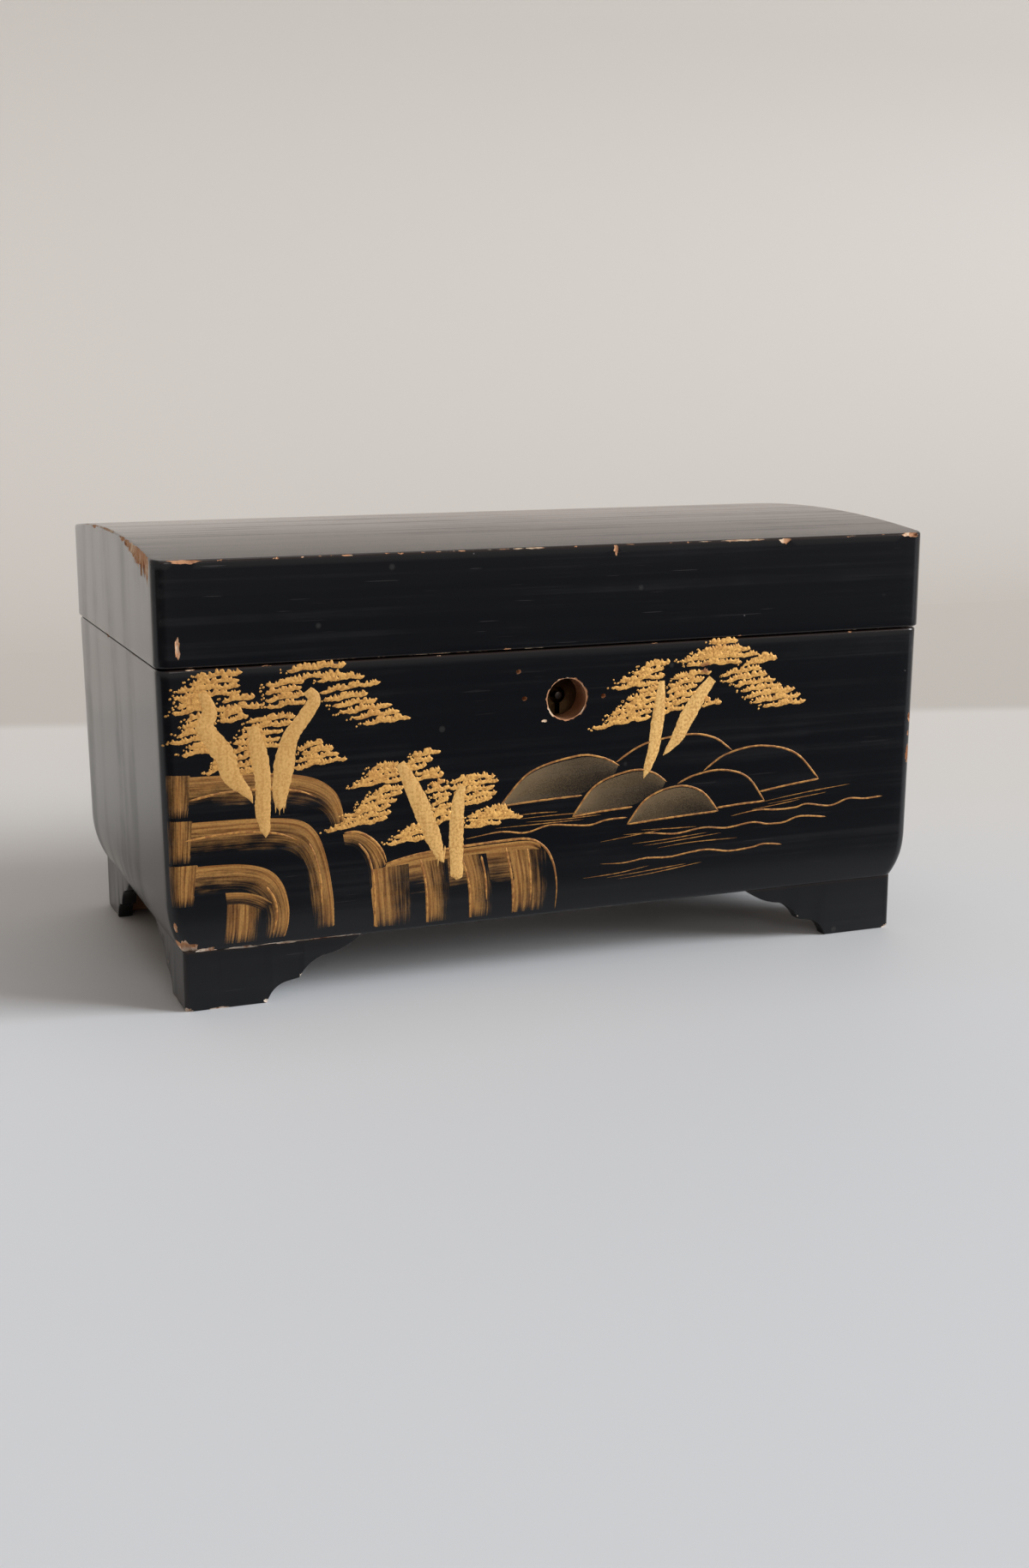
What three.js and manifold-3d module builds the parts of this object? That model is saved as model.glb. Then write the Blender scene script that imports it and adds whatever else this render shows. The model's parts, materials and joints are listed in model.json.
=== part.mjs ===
// Lacquered wooden jewelry box on four bracket feet: a case with swept-in ends, a hinged lid with a
// slightly crowned top, a box lock behind a round bore, and a lift-out tray.
// Millimetres, +Z up. The origin is on the floor under the middle of the case, and the front faces -Y.

import * as THREE from "three";
import { mergeVertices } from "three/addons/utils/BufferGeometryUtils.js";
import Module from "manifold-3d";

const wasm = await Module();
wasm.setup();

// Outer form
const caseWidth = 255.2;
const caseDepth = 135.2;
const caseHeight = 85.6;
const footHeight = 18.7;
const lidOverhang = 0.4;
const lidSideHeight = 31;
const lidCrown = 3.8;
const lidTopEdge = 0.8;
const seamGap = 0.4;
const cornerRadius = 4.3;
const cornerSteps = 6;

// Sweep of the case towards its feet: the ends lean in and then curve in, the front and back only curve.
const endLean = 0.8;
const endSweepHeight = 16.3;
const endSweepRadius = 35;
const frontSweepHeight = 11.3;
const frontSweepRadius = 30;
const sweepSteps = 8;

// Boards
const caseWall = 12;
const bottomBoard = 6;
const lidWall = 12;
const lidBoard = 6;

// Bracket feet: how far they stand in from the case's full width and depth, and the two wings.
const footInsetEnd = 5.3;
const footInsetFront = 3.4;
const footWall = 5;
const footCornerRadius = 1.2;
const footBlock = 9;
const frontWingReach = 55.5;
const frontWingFloor = 25;
const endWingReach = 42;
const endWingFloor = 18.5;

// Lining of the case
const wallLining = 1.2;
const floorPadHeight = 4;
const softGap = 0.3;
const liningBelowRim = 2.5;

// Lock
const boreRadius = 6.5;
const boreBelowRim = 16.1;
const lockSkin = 8;
const lockWidth = 34;
const lockBelowBore = 12;
const lockSheet = 0.8;
const lockFit = 0.3;
const selvageWidth = 42;
const selvageThickness = 1.2;
const selvageForward = 1.5;
const keyPostRadius = 1.2;
const keyPostProud = 1;
const keyholeRadius = 2.6;
const keyholeSlotWidth = 1.6;
const keyholeSlotLength = 6;
const boltTravel = 3;
const boltRiser = 2.2;
const boltNose = 1.8;
const boltHeight = 4;
const boltAboveBore = 2.8;
const hookSpacing = 12;
const hookStem = 2.2;
const hookBeak = 3;
const hookReach = 7.8;
const hookThickness = 1.5;
const beakHeight = 2.2;
const strikeWidth = 38;
const escutcheonNails = [
  { x: -14.3, aboveBore: 1 },
  { x: 12.3, aboveBore: 0.2 },
  { x: -16.3, aboveBore: 9.5 },
];
const nailHoleRadius = 0.7;
const nailHoleDepth = 4;

// Hinges
const hingeFromEnd = 49.6;
const hingeLength = 32;
const hingeLeafDepth = 10;
const hingeSheet = 1;
const knuckleCount = 5;
const knuckleGap = 0.2;
const barrelRadius = 1.7;
const barrelBehindLid = 1;
const pinRadius = 0.8;
const pinFit = 0.07;
const pinProud = 0.3;
const stopReach = 2.7;
const stopClear = 0.25;
const stopThickness = 1;
const stopAngle = 65.2;
const gainFit = 0.3;
const screwSpacing = 20;
const screwInset = 3.6;
const screwHeadRadius = 1.6;
const screwShankRadius = 0.7;
const screwHeadHeight = 0.9;
const screwLength = 7;
const screwFit = 0.05;

// Tray
const trayHeight = 19;
const trayBelowRim = 3;
const traySideGap = 0.8;
const traySeatGap = 0.3;
const trayWall = 3;
const trayFloor = 2.5;
const trayFloorRaise = 0.8;
const trayDivider = 2.5;
const dividerBelowEdge = 3;
const ringBay = 72;
const jewelBay = 84;
const ringRibs = 7;
const ringPadHeight = 9;
const ringPadBase = 3;
const trayPadHeight = 3;
const railWidth = 6;
const railHeight = 5;
const notchRadius = 10;
const notchDepth = 6;

// Mirror in the lid
const lidPanel = 1.6;
const mirrorWidth = 176;
const mirrorDepth = 72;
const mirrorThickness = 2.2;
const mirrorFrameWidth = 8;
const mirrorFrameLip = 1.8;
const mirrorFrameFace = 0.8;
const mirrorFit = 0.3;

// Levels and faces worked out from the sizes above
const rim = footHeight + caseHeight;
const lidBottom = rim + seamGap;
const lidEdge = lidBottom + lidSideHeight;
const lidBoardUnderside = lidEdge - lidBoard;
const caseEnd = caseWidth / 2;
const caseFace = caseDepth / 2;
const lidEnd = caseEnd + lidOverhang;
const lidFace = caseFace + lidOverhang;
const innerEnd = caseEnd - caseWall;
const innerFace = caseFace - caseWall;
const lidInnerEnd = lidEnd - lidWall;
const lidInnerFace = lidFace - lidWall;
const boreLevel = rim - boreBelowRim;
const hingeAxisY = lidFace + barrelBehindLid;
const hingeAxisZ = rim + seamGap / 2;
const hingeFromMiddle = caseEnd - hingeFromEnd;
const past = 5;
const mergeDistance = 1e-4;
const fullTurn = Math.PI * 2;

const lacquer = { color: 0x17181c, roughness: 0.32, metalness: 0 };
const wood = { color: 0x8a5a3c, roughness: 0.75, metalness: 0 };
const silk = { color: 0x6e1420, roughness: 0.8, metalness: 0 };
const velvet = { color: 0x5a0f1b, roughness: 0.95, metalness: 0 };
const brass = { color: 0xa98443, roughness: 0.42, metalness: 1 };
const glass = { color: 0xc9d0d2, roughness: 0.05, metalness: 1 };

// A closed geometry as a solid that can be joined and cut.
function solid(geometry) {
  const bare = geometry.index ? geometry.toNonIndexed() : geometry.clone();
  bare.deleteAttribute("normal");
  bare.deleteAttribute("uv");
  const merged = mergeVertices(bare, mergeDistance);
  return new wasm.Manifold(
    new wasm.Mesh({
      numProp: 3,
      vertProperties: merged.attributes.position.array,
      triVerts: new Uint32Array(merged.index.array),
    }),
  );
}

// A solid back as a geometry, for its mesh.
function geometryOf(body) {
  const mesh = body.getMesh();
  const geometry = new THREE.BufferGeometry();
  geometry.setAttribute("position", new THREE.BufferAttribute(mesh.vertProperties, 3));
  geometry.setIndex(new THREE.BufferAttribute(mesh.triVerts, 1));
  geometry.computeVertexNormals();
  return geometry;
}

// Moves every vertex of a geometry to the place that the function gives for it.
function reshape(geometry, place) {
  const position = geometry.attributes.position;
  for (let i = 0; i < position.count; i++) {
    position.setXYZ(i, ...place(position.getX(i), position.getY(i), position.getZ(i)));
  }
  return geometry;
}

// A box between two values on each axis.
function block(x0, x1, y0, y1, z0, z1) {
  return solid(
    reshape(new THREE.BoxGeometry(1, 1, 1), (x, y, z) => [
      x < 0 ? x0 : x1,
      y < 0 ? y0 : y1,
      z < 0 ? z0 : z1,
    ]),
  );
}

// A prism of a flat outline along one axis. The outline's own axes are Y and Z along X, X and Z along Y,
// and X and Y along Z.
function prism(axis, outline, from, to) {
  const shape = outline instanceof THREE.Shape ? outline : new THREE.Shape(outline);
  const geometry = new THREE.ExtrudeGeometry(shape, { depth: 1, bevelEnabled: false, curveSegments: 6 });
  const place = {
    x: (a, b, c) => [c < 0.5 ? from : to, a, b],
    y: (a, b, c) => [a, c < 0.5 ? to : from, b],
    z: (a, b, c) => [a, b, c < 0.5 ? from : to],
  };
  return solid(reshape(geometry, place[axis]));
}

// A round bar along one axis. The centre's two values follow the order X, Y, Z without the bar's axis.
function rod(axis, centre, from, to, radius, sides) {
  const outline = [];
  for (let i = 0; i < sides; i++) {
    const turn = (fullTurn * (i + 0.5)) / sides;
    outline.push(
      new THREE.Vector2(centre[0] + radius * Math.cos(turn), centre[1] + radius * Math.sin(turn)),
    );
  }
  return prism(axis, outline, from, to);
}

// The outline of a rectangle with rounded corners, as points in order.
function roundedOutline(halfX, halfY, radius, steps) {
  const points = [];
  const corners = [
    [1, 1],
    [-1, 1],
    [-1, -1],
    [1, -1],
  ];
  corners.forEach(([signX, signY], quarter) => {
    for (let i = 0; i <= steps; i++) {
      const turn = ((quarter + i / steps) * Math.PI) / 2;
      points.push(
        new THREE.Vector2(
          signX * (halfX - radius) + radius * Math.cos(turn),
          signY * (halfY - radius) + radius * Math.sin(turn),
        ),
      );
    }
  });
  return points;
}

// A skin over outlines at rising levels, closed by a flat cap at each end.
function loft(outlines, levels) {
  const count = outlines[0].length;
  const positions = outlines.flatMap((outline, level) =>
    outline.flatMap((point) => [point.x, point.y, levels[level]]),
  );
  const faces = [];
  for (let level = 0; level < outlines.length - 1; level++) {
    for (let i = 0; i < count; i++) {
      const here = level * count + i;
      const next = level * count + ((i + 1) % count);
      faces.push(here, next, next + count, here, next + count, here + count);
    }
  }
  const top = (outlines.length - 1) * count;
  for (let i = 1; i < count - 1; i++) {
    faces.push(0, i + 1, i);
    faces.push(top, top + i, top + i + 1);
  }
  const geometry = new THREE.BufferGeometry();
  geometry.setAttribute("position", new THREE.Float32BufferAttribute(positions, 3));
  geometry.setIndex(faces);
  return solid(geometry);
}

// How far a face of the case stands in at a level: a lean from the rim down to the sweep, then an arc.
function sweepInset(level, lean, sweepHeight, sweepRadius) {
  const up = level - footHeight;
  const leaning = (lean * (caseHeight - Math.max(up, sweepHeight))) / (caseHeight - sweepHeight);
  const below = Math.max(0, sweepHeight - up);
  return leaning + sweepRadius - Math.sqrt(sweepRadius ** 2 - below ** 2);
}

// The whole outside of the case, from which its four walls are cut.
function caseForm() {
  const levels = [];
  for (let i = 0; i <= sweepSteps; i++) {
    levels.push(footHeight + (endSweepHeight * i) / sweepSteps);
  }
  levels.push(rim);
  const outlines = levels.map((level) =>
    roundedOutline(
      caseEnd - sweepInset(level, endLean, endSweepHeight, endSweepRadius),
      caseFace - sweepInset(level, 0, frontSweepHeight, frontSweepRadius),
      cornerRadius,
      cornerSteps,
    ),
  );
  return loft(outlines, levels);
}

// The front wall, with the key's bore, the mortise for the lock and the nail holes of a lost escutcheon.
function caseFront(form) {
  const mortiseFace = -caseFace + lockSkin;
  const lockBottom = boreLevel - lockBelowBore;
  let wall = form.intersect(
    block(-caseWidth, caseWidth, -caseDepth, -innerFace, footHeight, rim),
  );
  wall = wall.subtract(
    rod("y", [0, boreLevel], -caseFace - past, mortiseFace + lockSheet, boreRadius, 40),
  );
  wall = wall.subtract(
    block(
      -lockWidth / 2 - lockFit,
      lockWidth / 2 + lockFit,
      mortiseFace,
      -innerFace + past,
      lockBottom - lockFit,
      rim + past,
    ),
  );
  wall = wall.subtract(
    block(
      -selvageWidth / 2 - lockFit,
      selvageWidth / 2 + lockFit,
      mortiseFace - selvageForward - lockFit,
      -innerFace + past,
      rim - selvageThickness,
      rim + past,
    ),
  );
  for (const nail of escutcheonNails) {
    wall = wall.subtract(
      rod(
        "y",
        [nail.x, boreLevel + nail.aboveBore],
        -caseFace - past,
        -caseFace + nailHoleDepth,
        nailHoleRadius,
        8,
      ),
    );
  }
  return wall;
}

// What the hinges take out of a back wall: the beds of the leaves, room for the barrels and screw holes.
function hingeBeds(leafFrom, leafTo, screwMouth, screwUp) {
  let cut = null;
  for (const side of [-1, 1]) {
    const centre = side * hingeFromMiddle;
    const half = hingeLength / 2 + gainFit;
    const bed = block(
      centre - half,
      centre + half,
      lidFace - hingeLeafDepth - gainFit,
      lidFace + past,
      leafFrom,
      leafTo,
    );
    const barrel = rod(
      "x",
      [hingeAxisY, hingeAxisZ],
      centre - half,
      centre + half,
      barrelRadius + gainFit,
      20,
    );
    let both = bed.add(barrel);
    for (const end of [-1, 1]) {
      const hole = solid(screwGeometry(screwFit)).transform(
        screwPlacing(centre + (end * screwSpacing) / 2, screwMouth, screwUp),
      );
      both = both.add(hole);
    }
    cut = cut ? cut.add(both) : both;
  }
  return cut;
}

// The case's back wall.
function caseBack(form) {
  const wall = form.intersect(block(-caseWidth, caseWidth, innerFace, caseDepth, footHeight, rim));
  return wall.subtract(hingeBeds(rim - hingeSheet, rim + past, rim, -1));
}

// An end wall, fitted between the front and the back.
function caseSide(form, side) {
  const outer = side * caseWidth;
  const inner = side * innerEnd;
  return form.intersect(
    block(Math.min(outer, inner), Math.max(outer, inner), -innerFace, innerFace, footHeight, rim),
  );
}

// The outline of one wing of a bracket foot: from the outer edge along the case, and down in two ogees.
// Distances run from the outer edge. The turning points are shares of the wing beyond its floor part.
function wingOutline(reach, floor) {
  const beyond = reach - floor;
  const shape = new THREE.Shape();
  shape.moveTo(0, 0);
  shape.lineTo(floor, 0);
  shape.quadraticCurveTo(floor + 0.06 * beyond, 0.27 * footHeight, floor + 0.21 * beyond, 0.32 * footHeight);
  shape.lineTo(floor + 0.34 * beyond, 0.36 * footHeight);
  shape.quadraticCurveTo(floor + 0.42 * beyond, 0.6 * footHeight, floor + 0.59 * beyond, 0.7 * footHeight);
  shape.quadraticCurveTo(floor + 0.82 * beyond, 0.74 * footHeight, reach, footHeight);
  shape.lineTo(0, footHeight);
  return shape;
}

// A bracket foot for the corner at -X and -Y, with its glue block in the corner.
function footSolid() {
  const end = caseEnd - footInsetEnd;
  const face = caseFace - footInsetFront;
  const frontWing = prism("y", wingOutline(frontWingReach, frontWingFloor), -face, -face + footWall)
    .translate([-end, 0, 0]);
  const endWing = prism("x", wingOutline(endWingReach, endWingFloor), -end, -end + footWall)
    .translate([0, -face, 0]);
  const blockEnd = -end + footWall + footBlock;
  const blockFace = -face + footWall + footBlock;
  const block4 = block(-end, blockEnd, -face, blockFace, 0, footHeight);
  const plan = prism("z", roundedOutline(end, face, footCornerRadius, 3), 0, footHeight);
  return frontWing.add(endWing).add(block4).intersect(plan);
}

// A cushion on a flat base: crowned in the middle, rounded over at the rim, drawn in between its corners.
function cushion(x0, x1, y0, y1, base, height) {
  const cells = 12;
  const drawnIn = 0.6;
  const rimShare = 0.45;
  const halfX = (x1 - x0) / 2;
  const halfY = (y1 - y0) / 2;
  const geometry = new THREE.BoxGeometry(2, 2, 1, cells, cells, 2);
  return solid(
    reshape(geometry, (u, v, w) => {
      const x = u * (halfX - drawnIn * (1 - v * v));
      const y = v * (halfY - drawnIn * (1 - u * u));
      const crown = rimShare + (1 - rimShare) * (1 - u ** 6) * (1 - v ** 6);
      return [(x0 + x1) / 2 + x, (y0 + y1) / 2 + y, base + (w + 0.5) * height * crown];
    }),
  );
}

// The lock's housing: a front plate with the keyhole, a raised edge on three sides and the rim plate.
function lockHousing() {
  const front = -caseFace + lockSkin;
  const back = -innerFace;
  const bottom = boreLevel - lockBelowBore;
  const top = rim - selvageThickness;
  const half = lockWidth / 2;
  let housing = block(-half, half, front, back - lockSheet, bottom, top);
  housing = housing.subtract(
    block(
      -half + lockSheet,
      half - lockSheet,
      front + lockSheet,
      back,
      bottom + lockSheet,
      top,
    ),
  );
  housing = housing.add(
    block(
      -selvageWidth / 2,
      selvageWidth / 2,
      front - selvageForward,
      back - lockFit,
      top,
      rim,
    ),
  );
  const slotMiddle = cavityMiddle();
  const slotHalf = hookThickness / 2 + lockFit + 0.15;
  for (const side of [-1, 1]) {
    const stem = (side * hookSpacing) / 2;
    housing = housing.subtract(
      block(
        stem - hookBeak - hookStem / 2 - lockFit,
        stem + hookStem / 2 + lockFit,
        slotMiddle - slotHalf,
        slotMiddle + slotHalf,
        top - past,
        rim + past,
      ),
    );
  }
  housing = housing.subtract(
    rod("y", [0, boreLevel], front - past, front + lockSheet + 0.1, keyholeRadius, 20),
  );
  return housing.subtract(
    block(
      -keyholeSlotWidth / 2,
      keyholeSlotWidth / 2,
      front - past,
      front + lockSheet + 0.1,
      boreLevel - keyholeSlotLength,
      boreLevel,
    ),
  );
}

// The middle of the lock's hollow, front to back, where the bolt and the hooks lie.
function cavityMiddle() {
  const front = -caseFace + lockSkin + lockSheet;
  const back = -innerFace - lockSheet;
  return (front + back) / 2;
}

// The plate that closes the lock on its inner side.
function lockCover() {
  return block(
    -lockWidth / 2,
    lockWidth / 2,
    -innerFace - lockSheet,
    -innerFace,
    boreLevel - lockBelowBore,
    rim - selvageThickness,
  );
}

// The bolt: a bar over the keyhole with two risers, whose noses slide over the beaks of the hooks.
function lockBolt() {
  const middle = cavityMiddle();
  const front = middle - hookThickness / 2;
  const back = middle + hookThickness / 2;
  const noseRight = -hookStem / 2 - hookBeak - lockFit;
  const riserRight = noseRight - boltTravel;
  const riserLeft = riserRight - boltRiser;
  const noseBottom = lidBottom - hookReach + beakHeight + lockFit;
  const noseTop = noseBottom + boltNose;
  const barBottom = boreLevel + boltAboveBore;
  const barTop = barBottom + boltHeight;
  const talonTop = barBottom + keyholeRadius / 2;
  let bolt = block(-hookSpacing / 2 + riserLeft, hookSpacing / 2, front, back, barBottom, barTop);
  bolt = bolt.subtract(
    block(-keyholeRadius, keyholeRadius, front - past, back + past, barBottom - past, talonTop),
  );
  for (const side of [-1, 1]) {
    const stem = (side * hookSpacing) / 2;
    bolt = bolt.add(block(stem + riserLeft, stem + riserRight, front, back, barBottom, noseTop));
    bolt = bolt.add(block(stem + riserLeft, stem + noseRight, front, back, noseBottom, noseTop));
  }
  return bolt;
}

// The strike in the lid: a plate with two hooks that enter the lock.
function lidStrike() {
  const middle = cavityMiddle();
  const halfThick = hookThickness / 2;
  const hookTip = lidBottom - hookReach;
  let strike = block(
    -strikeWidth / 2,
    strikeWidth / 2,
    -caseFace + lockSkin - selvageForward,
    -lidInnerFace - lockFit,
    lidBottom,
    lidBottom + selvageThickness,
  );
  for (const side of [-1, 1]) {
    const stem = (side * hookSpacing) / 2;
    const outline = [
      new THREE.Vector2(stem + hookStem / 2, lidBottom + selvageThickness / 2),
      new THREE.Vector2(stem - hookStem / 2, lidBottom + selvageThickness / 2),
      new THREE.Vector2(stem - hookStem / 2, hookTip + beakHeight),
      new THREE.Vector2(stem - hookStem / 2 - hookBeak, hookTip + beakHeight),
      new THREE.Vector2(stem - hookStem / 2 - hookBeak, hookTip + beakHeight / 2),
      new THREE.Vector2(stem - hookStem / 2 - hookBeak / 2, hookTip),
      new THREE.Vector2(stem + hookStem / 2, hookTip),
    ];
    strike = strike.add(prism("y", outline, middle - halfThick, middle + halfThick));
  }
  return strike;
}

// A countersunk screw along Z, its head's face at 0 and its point below.
function screwGeometry(extra) {
  const profile = [
    new THREE.Vector2(0, -screwLength - extra),
    new THREE.Vector2(screwShankRadius + extra, -screwLength + screwShankRadius),
    new THREE.Vector2(screwShankRadius + extra, -screwHeadHeight - extra),
    new THREE.Vector2(screwHeadRadius + extra, extra),
    new THREE.Vector2(0, extra),
  ];
  return new THREE.LatheGeometry(profile, 10).rotateX(Math.PI / 2);
}

// Where a hinge screw stands: the head looks along -up at the level of its mouth.
function screwPlacing(x, mouth, up) {
  const matrix = new THREE.Matrix4().makeTranslation(x, lidFace - hingeLeafDepth + screwInset, mouth);
  if (up > 0) matrix.multiply(new THREE.Matrix4().makeRotationX(Math.PI));
  return matrix.elements;
}

// One leaf of a hinge with its share of the knuckles. up is 1 for the lid's leaf and -1 for the case's.
// The stop is a bar along the barrel, on the leaf's own knuckles, which meets the other leaf's stop.
function hingeLeaf(up) {
  const half = hingeLength / 2;
  const pitch = hingeLength / knuckleCount;
  const sheetFrom = up > 0 ? lidBottom : rim - hingeSheet;
  const sheetTo = sheetFrom + hingeSheet;
  const sheetEnd = hingeAxisY - barrelRadius - gainFit;
  let leaf = block(-half, half, lidFace - hingeLeafDepth, sheetEnd, sheetFrom, sheetTo);
  const stopFrom = barrelRadius + stopClear;
  const stopBar = (from, to, inner) =>
    block(from, to, inner, stopReach, -stopThickness / 2, stopThickness / 2);
  const stopParts = [stopBar(-half, half, stopFrom)];
  for (let i = 0; i < knuckleCount; i++) {
    const own = up > 0 ? i % 2 === 1 : i % 2 === 0;
    if (!own) continue;
    const from = -half + i * pitch + (i > 0 ? knuckleGap / 2 : 0);
    const to = -half + (i + 1) * pitch - (i < knuckleCount - 1 ? knuckleGap / 2 : 0);
    leaf = leaf.add(rod("x", [hingeAxisY, hingeAxisZ], from, to, barrelRadius, 20));
    leaf = leaf.add(block(from, to, sheetEnd - 1, hingeAxisY, sheetFrom, sheetTo));
    stopParts.push(stopBar(from, to, barrelRadius - 0.4));
  }
  const turn = new THREE.Matrix4().makeTranslation(0, hingeAxisY, hingeAxisZ);
  turn.multiply(new THREE.Matrix4().makeRotationX((up * stopAngle * Math.PI) / 180));
  for (const part of stopParts) leaf = leaf.add(part.transform(turn.elements));
  leaf = leaf.subtract(
    rod("x", [hingeAxisY, hingeAxisZ], -half - past, half + past, pinRadius + pinFit, 20),
  );
  for (const end of [-1, 1]) {
    leaf = leaf.subtract(
      solid(screwGeometry(screwFit)).transform(
        screwPlacing((end * screwSpacing) / 2, up > 0 ? lidBottom : rim, up),
      ),
    );
  }
  return leaf;
}

// The whole outside of the lid up to its top board, from which its walls are cut.
function lidForm() {
  const outline = roundedOutline(lidEnd, lidFace, cornerRadius, cornerSteps);
  return prism("z", outline, lidBottom, lidBoardUnderside);
}

// The lid's front wall, let in for the strike.
function lidFront(form) {
  const wall = form.intersect(
    block(-lidEnd, lidEnd, -lidFace, -lidInnerFace, lidBottom, lidBoardUnderside),
  );
  return wall.subtract(
    block(
      -strikeWidth / 2 - lockFit,
      strikeWidth / 2 + lockFit,
      -caseFace + lockSkin - selvageForward - lockFit,
      -lidInnerFace + past,
      lidBottom - past,
      lidBottom + selvageThickness,
    ),
  );
}

// The lid's back wall, let in for the hinges.
function lidBack(form) {
  const wall = form.intersect(
    block(-lidEnd, lidEnd, lidInnerFace, lidFace, lidBottom, lidBoardUnderside),
  );
  return wall.subtract(hingeBeds(lidBottom - past, lidBottom + hingeSheet, lidBottom, 1));
}

// An end wall of the lid, fitted between its front and back.
function lidSide(form, side) {
  const outer = side * lidEnd;
  const inner = side * lidInnerEnd;
  return form.intersect(
    block(
      Math.min(outer, inner),
      Math.max(outer, inner),
      -lidInnerFace,
      lidInnerFace,
      lidBottom,
      lidBoardUnderside,
    ),
  );
}

// The lid's top board: flat below, and above it an arc from the front edge to the back edge.
function lidTop() {
  const steps = 24;
  const arcRadius = (lidFace ** 2 + lidCrown ** 2) / (2 * lidCrown);
  const crownAt = (y) => lidEdge + lidCrown - arcRadius + Math.sqrt(arcRadius ** 2 - y ** 2);
  const outline = [
    new THREE.Vector2(-lidFace, lidBoardUnderside),
    new THREE.Vector2(lidFace, lidBoardUnderside),
    new THREE.Vector2(lidFace, lidEdge - lidTopEdge),
  ];
  const reach = lidFace - lidTopEdge;
  for (let i = 0; i <= steps; i++) {
    const y = reach * (1 - (2 * i) / steps);
    outline.push(new THREE.Vector2(y, crownAt(y)));
  }
  outline.push(new THREE.Vector2(-lidFace, lidEdge - lidTopEdge));
  const board = prism("x", outline, -lidEnd, lidEnd);
  const plan = roundedOutline(lidEnd, lidFace, cornerRadius, cornerSteps);
  return board.intersect(prism("z", plan, lidBoardUnderside, lidEdge + lidCrown + past));
}

// The moulding round the mirror, with a lip under the glass.
function mirrorFrame() {
  const top = lidBoardUnderside - lidPanel;
  const glassFace = top - mirrorThickness;
  const bottom = glassFace - mirrorFit - mirrorFrameFace;
  const halfX = mirrorWidth / 2 + mirrorFit;
  const halfY = mirrorDepth / 2 + mirrorFit;
  const outerX = halfX + mirrorFrameWidth - mirrorFrameLip;
  const outerY = halfY + mirrorFrameWidth - mirrorFrameLip;
  const levels = [bottom, bottom + 1, top];
  const chamfer = 1.2;
  const outside = loft(
    [chamfer, 0, 0].map((inset) => roundedOutline(outerX - inset, outerY - inset, 2, 2)),
    levels,
  );
  const rebate = block(-halfX, halfX, -halfY, halfY, glassFace - mirrorFit, top + past);
  const sight = block(
    -halfX + mirrorFrameLip,
    halfX - mirrorFrameLip,
    -halfY + mirrorFrameLip,
    halfY - mirrorFrameLip,
    bottom - past,
    top,
  );
  return outside.subtract(rebate).subtract(sight);
}

// The ribbed ring pad: rounded ribs side by side, with slits between them that hold the rings.
function ringPad(x0, x1, y0, y1, base) {
  const stepsPerRib = 8;
  const outline = [new THREE.Vector2(y0, base), new THREE.Vector2(y1, base)];
  const steps = ringRibs * stepsPerRib;
  for (let i = 0; i <= steps; i++) {
    const along = i / steps;
    const swell = Math.abs(Math.sin(Math.PI * ringRibs * along)) ** 0.6;
    const y = y1 + (y0 - y1) * along;
    outline.push(new THREE.Vector2(y, base + ringPadBase + (ringPadHeight - ringPadBase) * swell));
  }
  return prism("x", outline, x0, x1);
}

const box = new THREE.Group();
const caseGroup = new THREE.Group();
const lidGroup = new THREE.Group();
const trayGroup = new THREE.Group();
box.add(caseGroup, lidGroup, trayGroup);

// Adds a solid to a group as a named mesh with its own material.
function addPiece(group, name, body, finish) {
  const mesh = new THREE.Mesh(geometryOf(body), new THREE.MeshStandardMaterial(finish));
  mesh.name = name;
  group.add(mesh);
  return mesh;
}

// The case: four walls, the bottom board between them, and four feet under the corners.
const caseOutside = caseForm();
addPiece(caseGroup, "case_front", caseFront(caseOutside), lacquer);
addPiece(caseGroup, "case_back", caseBack(caseOutside), lacquer);
addPiece(caseGroup, "case_left", caseSide(caseOutside, -1), lacquer);
addPiece(caseGroup, "case_right", caseSide(caseOutside, 1), lacquer);
addPiece(
  caseGroup,
  "case_bottom",
  block(-innerEnd, innerEnd, -innerFace, innerFace, footHeight, footHeight + bottomBoard),
  lacquer,
);
const foot = footSolid();
for (const [frontOrBack, signY] of [["front", 1], ["back", -1]]) {
  for (const [leftOrRight, signX] of [["left", 1], ["right", -1]]) {
    const mesh = addPiece(caseGroup, `foot_${frontOrBack}_${leftOrRight}`, foot, lacquer);
    mesh.scale.set(signX, signY, 1);
  }
}

// Lining of the case and the rails that carry the tray.
const liningBottom = footHeight + bottomBoard;
const liningTop = rim - liningBelowRim;
const linedEnd = innerEnd - wallLining;
const linedFace = innerFace - wallLining;
const liningWalls = {
  front: [-innerEnd, innerEnd, -innerFace, -linedFace],
  back: [-innerEnd, innerEnd, linedFace, innerFace],
  left: [-innerEnd, -linedEnd, -linedFace, linedFace],
  right: [linedEnd, innerEnd, -linedFace, linedFace],
};
for (const [side, sides] of Object.entries(liningWalls)) {
  addPiece(caseGroup, `lining_${side}`, block(...sides, liningBottom, liningTop), silk);
}
addPiece(
  caseGroup,
  "floor_pad",
  cushion(
    -linedEnd + softGap,
    linedEnd - softGap,
    -linedFace + softGap,
    linedFace - softGap,
    liningBottom,
    floorPadHeight,
  ),
  velvet,
);
const trayBottom = rim - trayBelowRim - trayHeight;
const railTop = trayBottom - traySeatGap;
for (const [side, sign] of [["left", -1], ["right", 1]]) {
  const outer = sign * linedEnd;
  const inner = sign * (linedEnd - railWidth);
  const rail = block(
    Math.min(outer, inner),
    Math.max(outer, inner),
    -linedFace,
    linedFace,
    railTop - railHeight,
    railTop,
  );
  addPiece(caseGroup, `tray_rail_${side}`, rail, wood);
}

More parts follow.
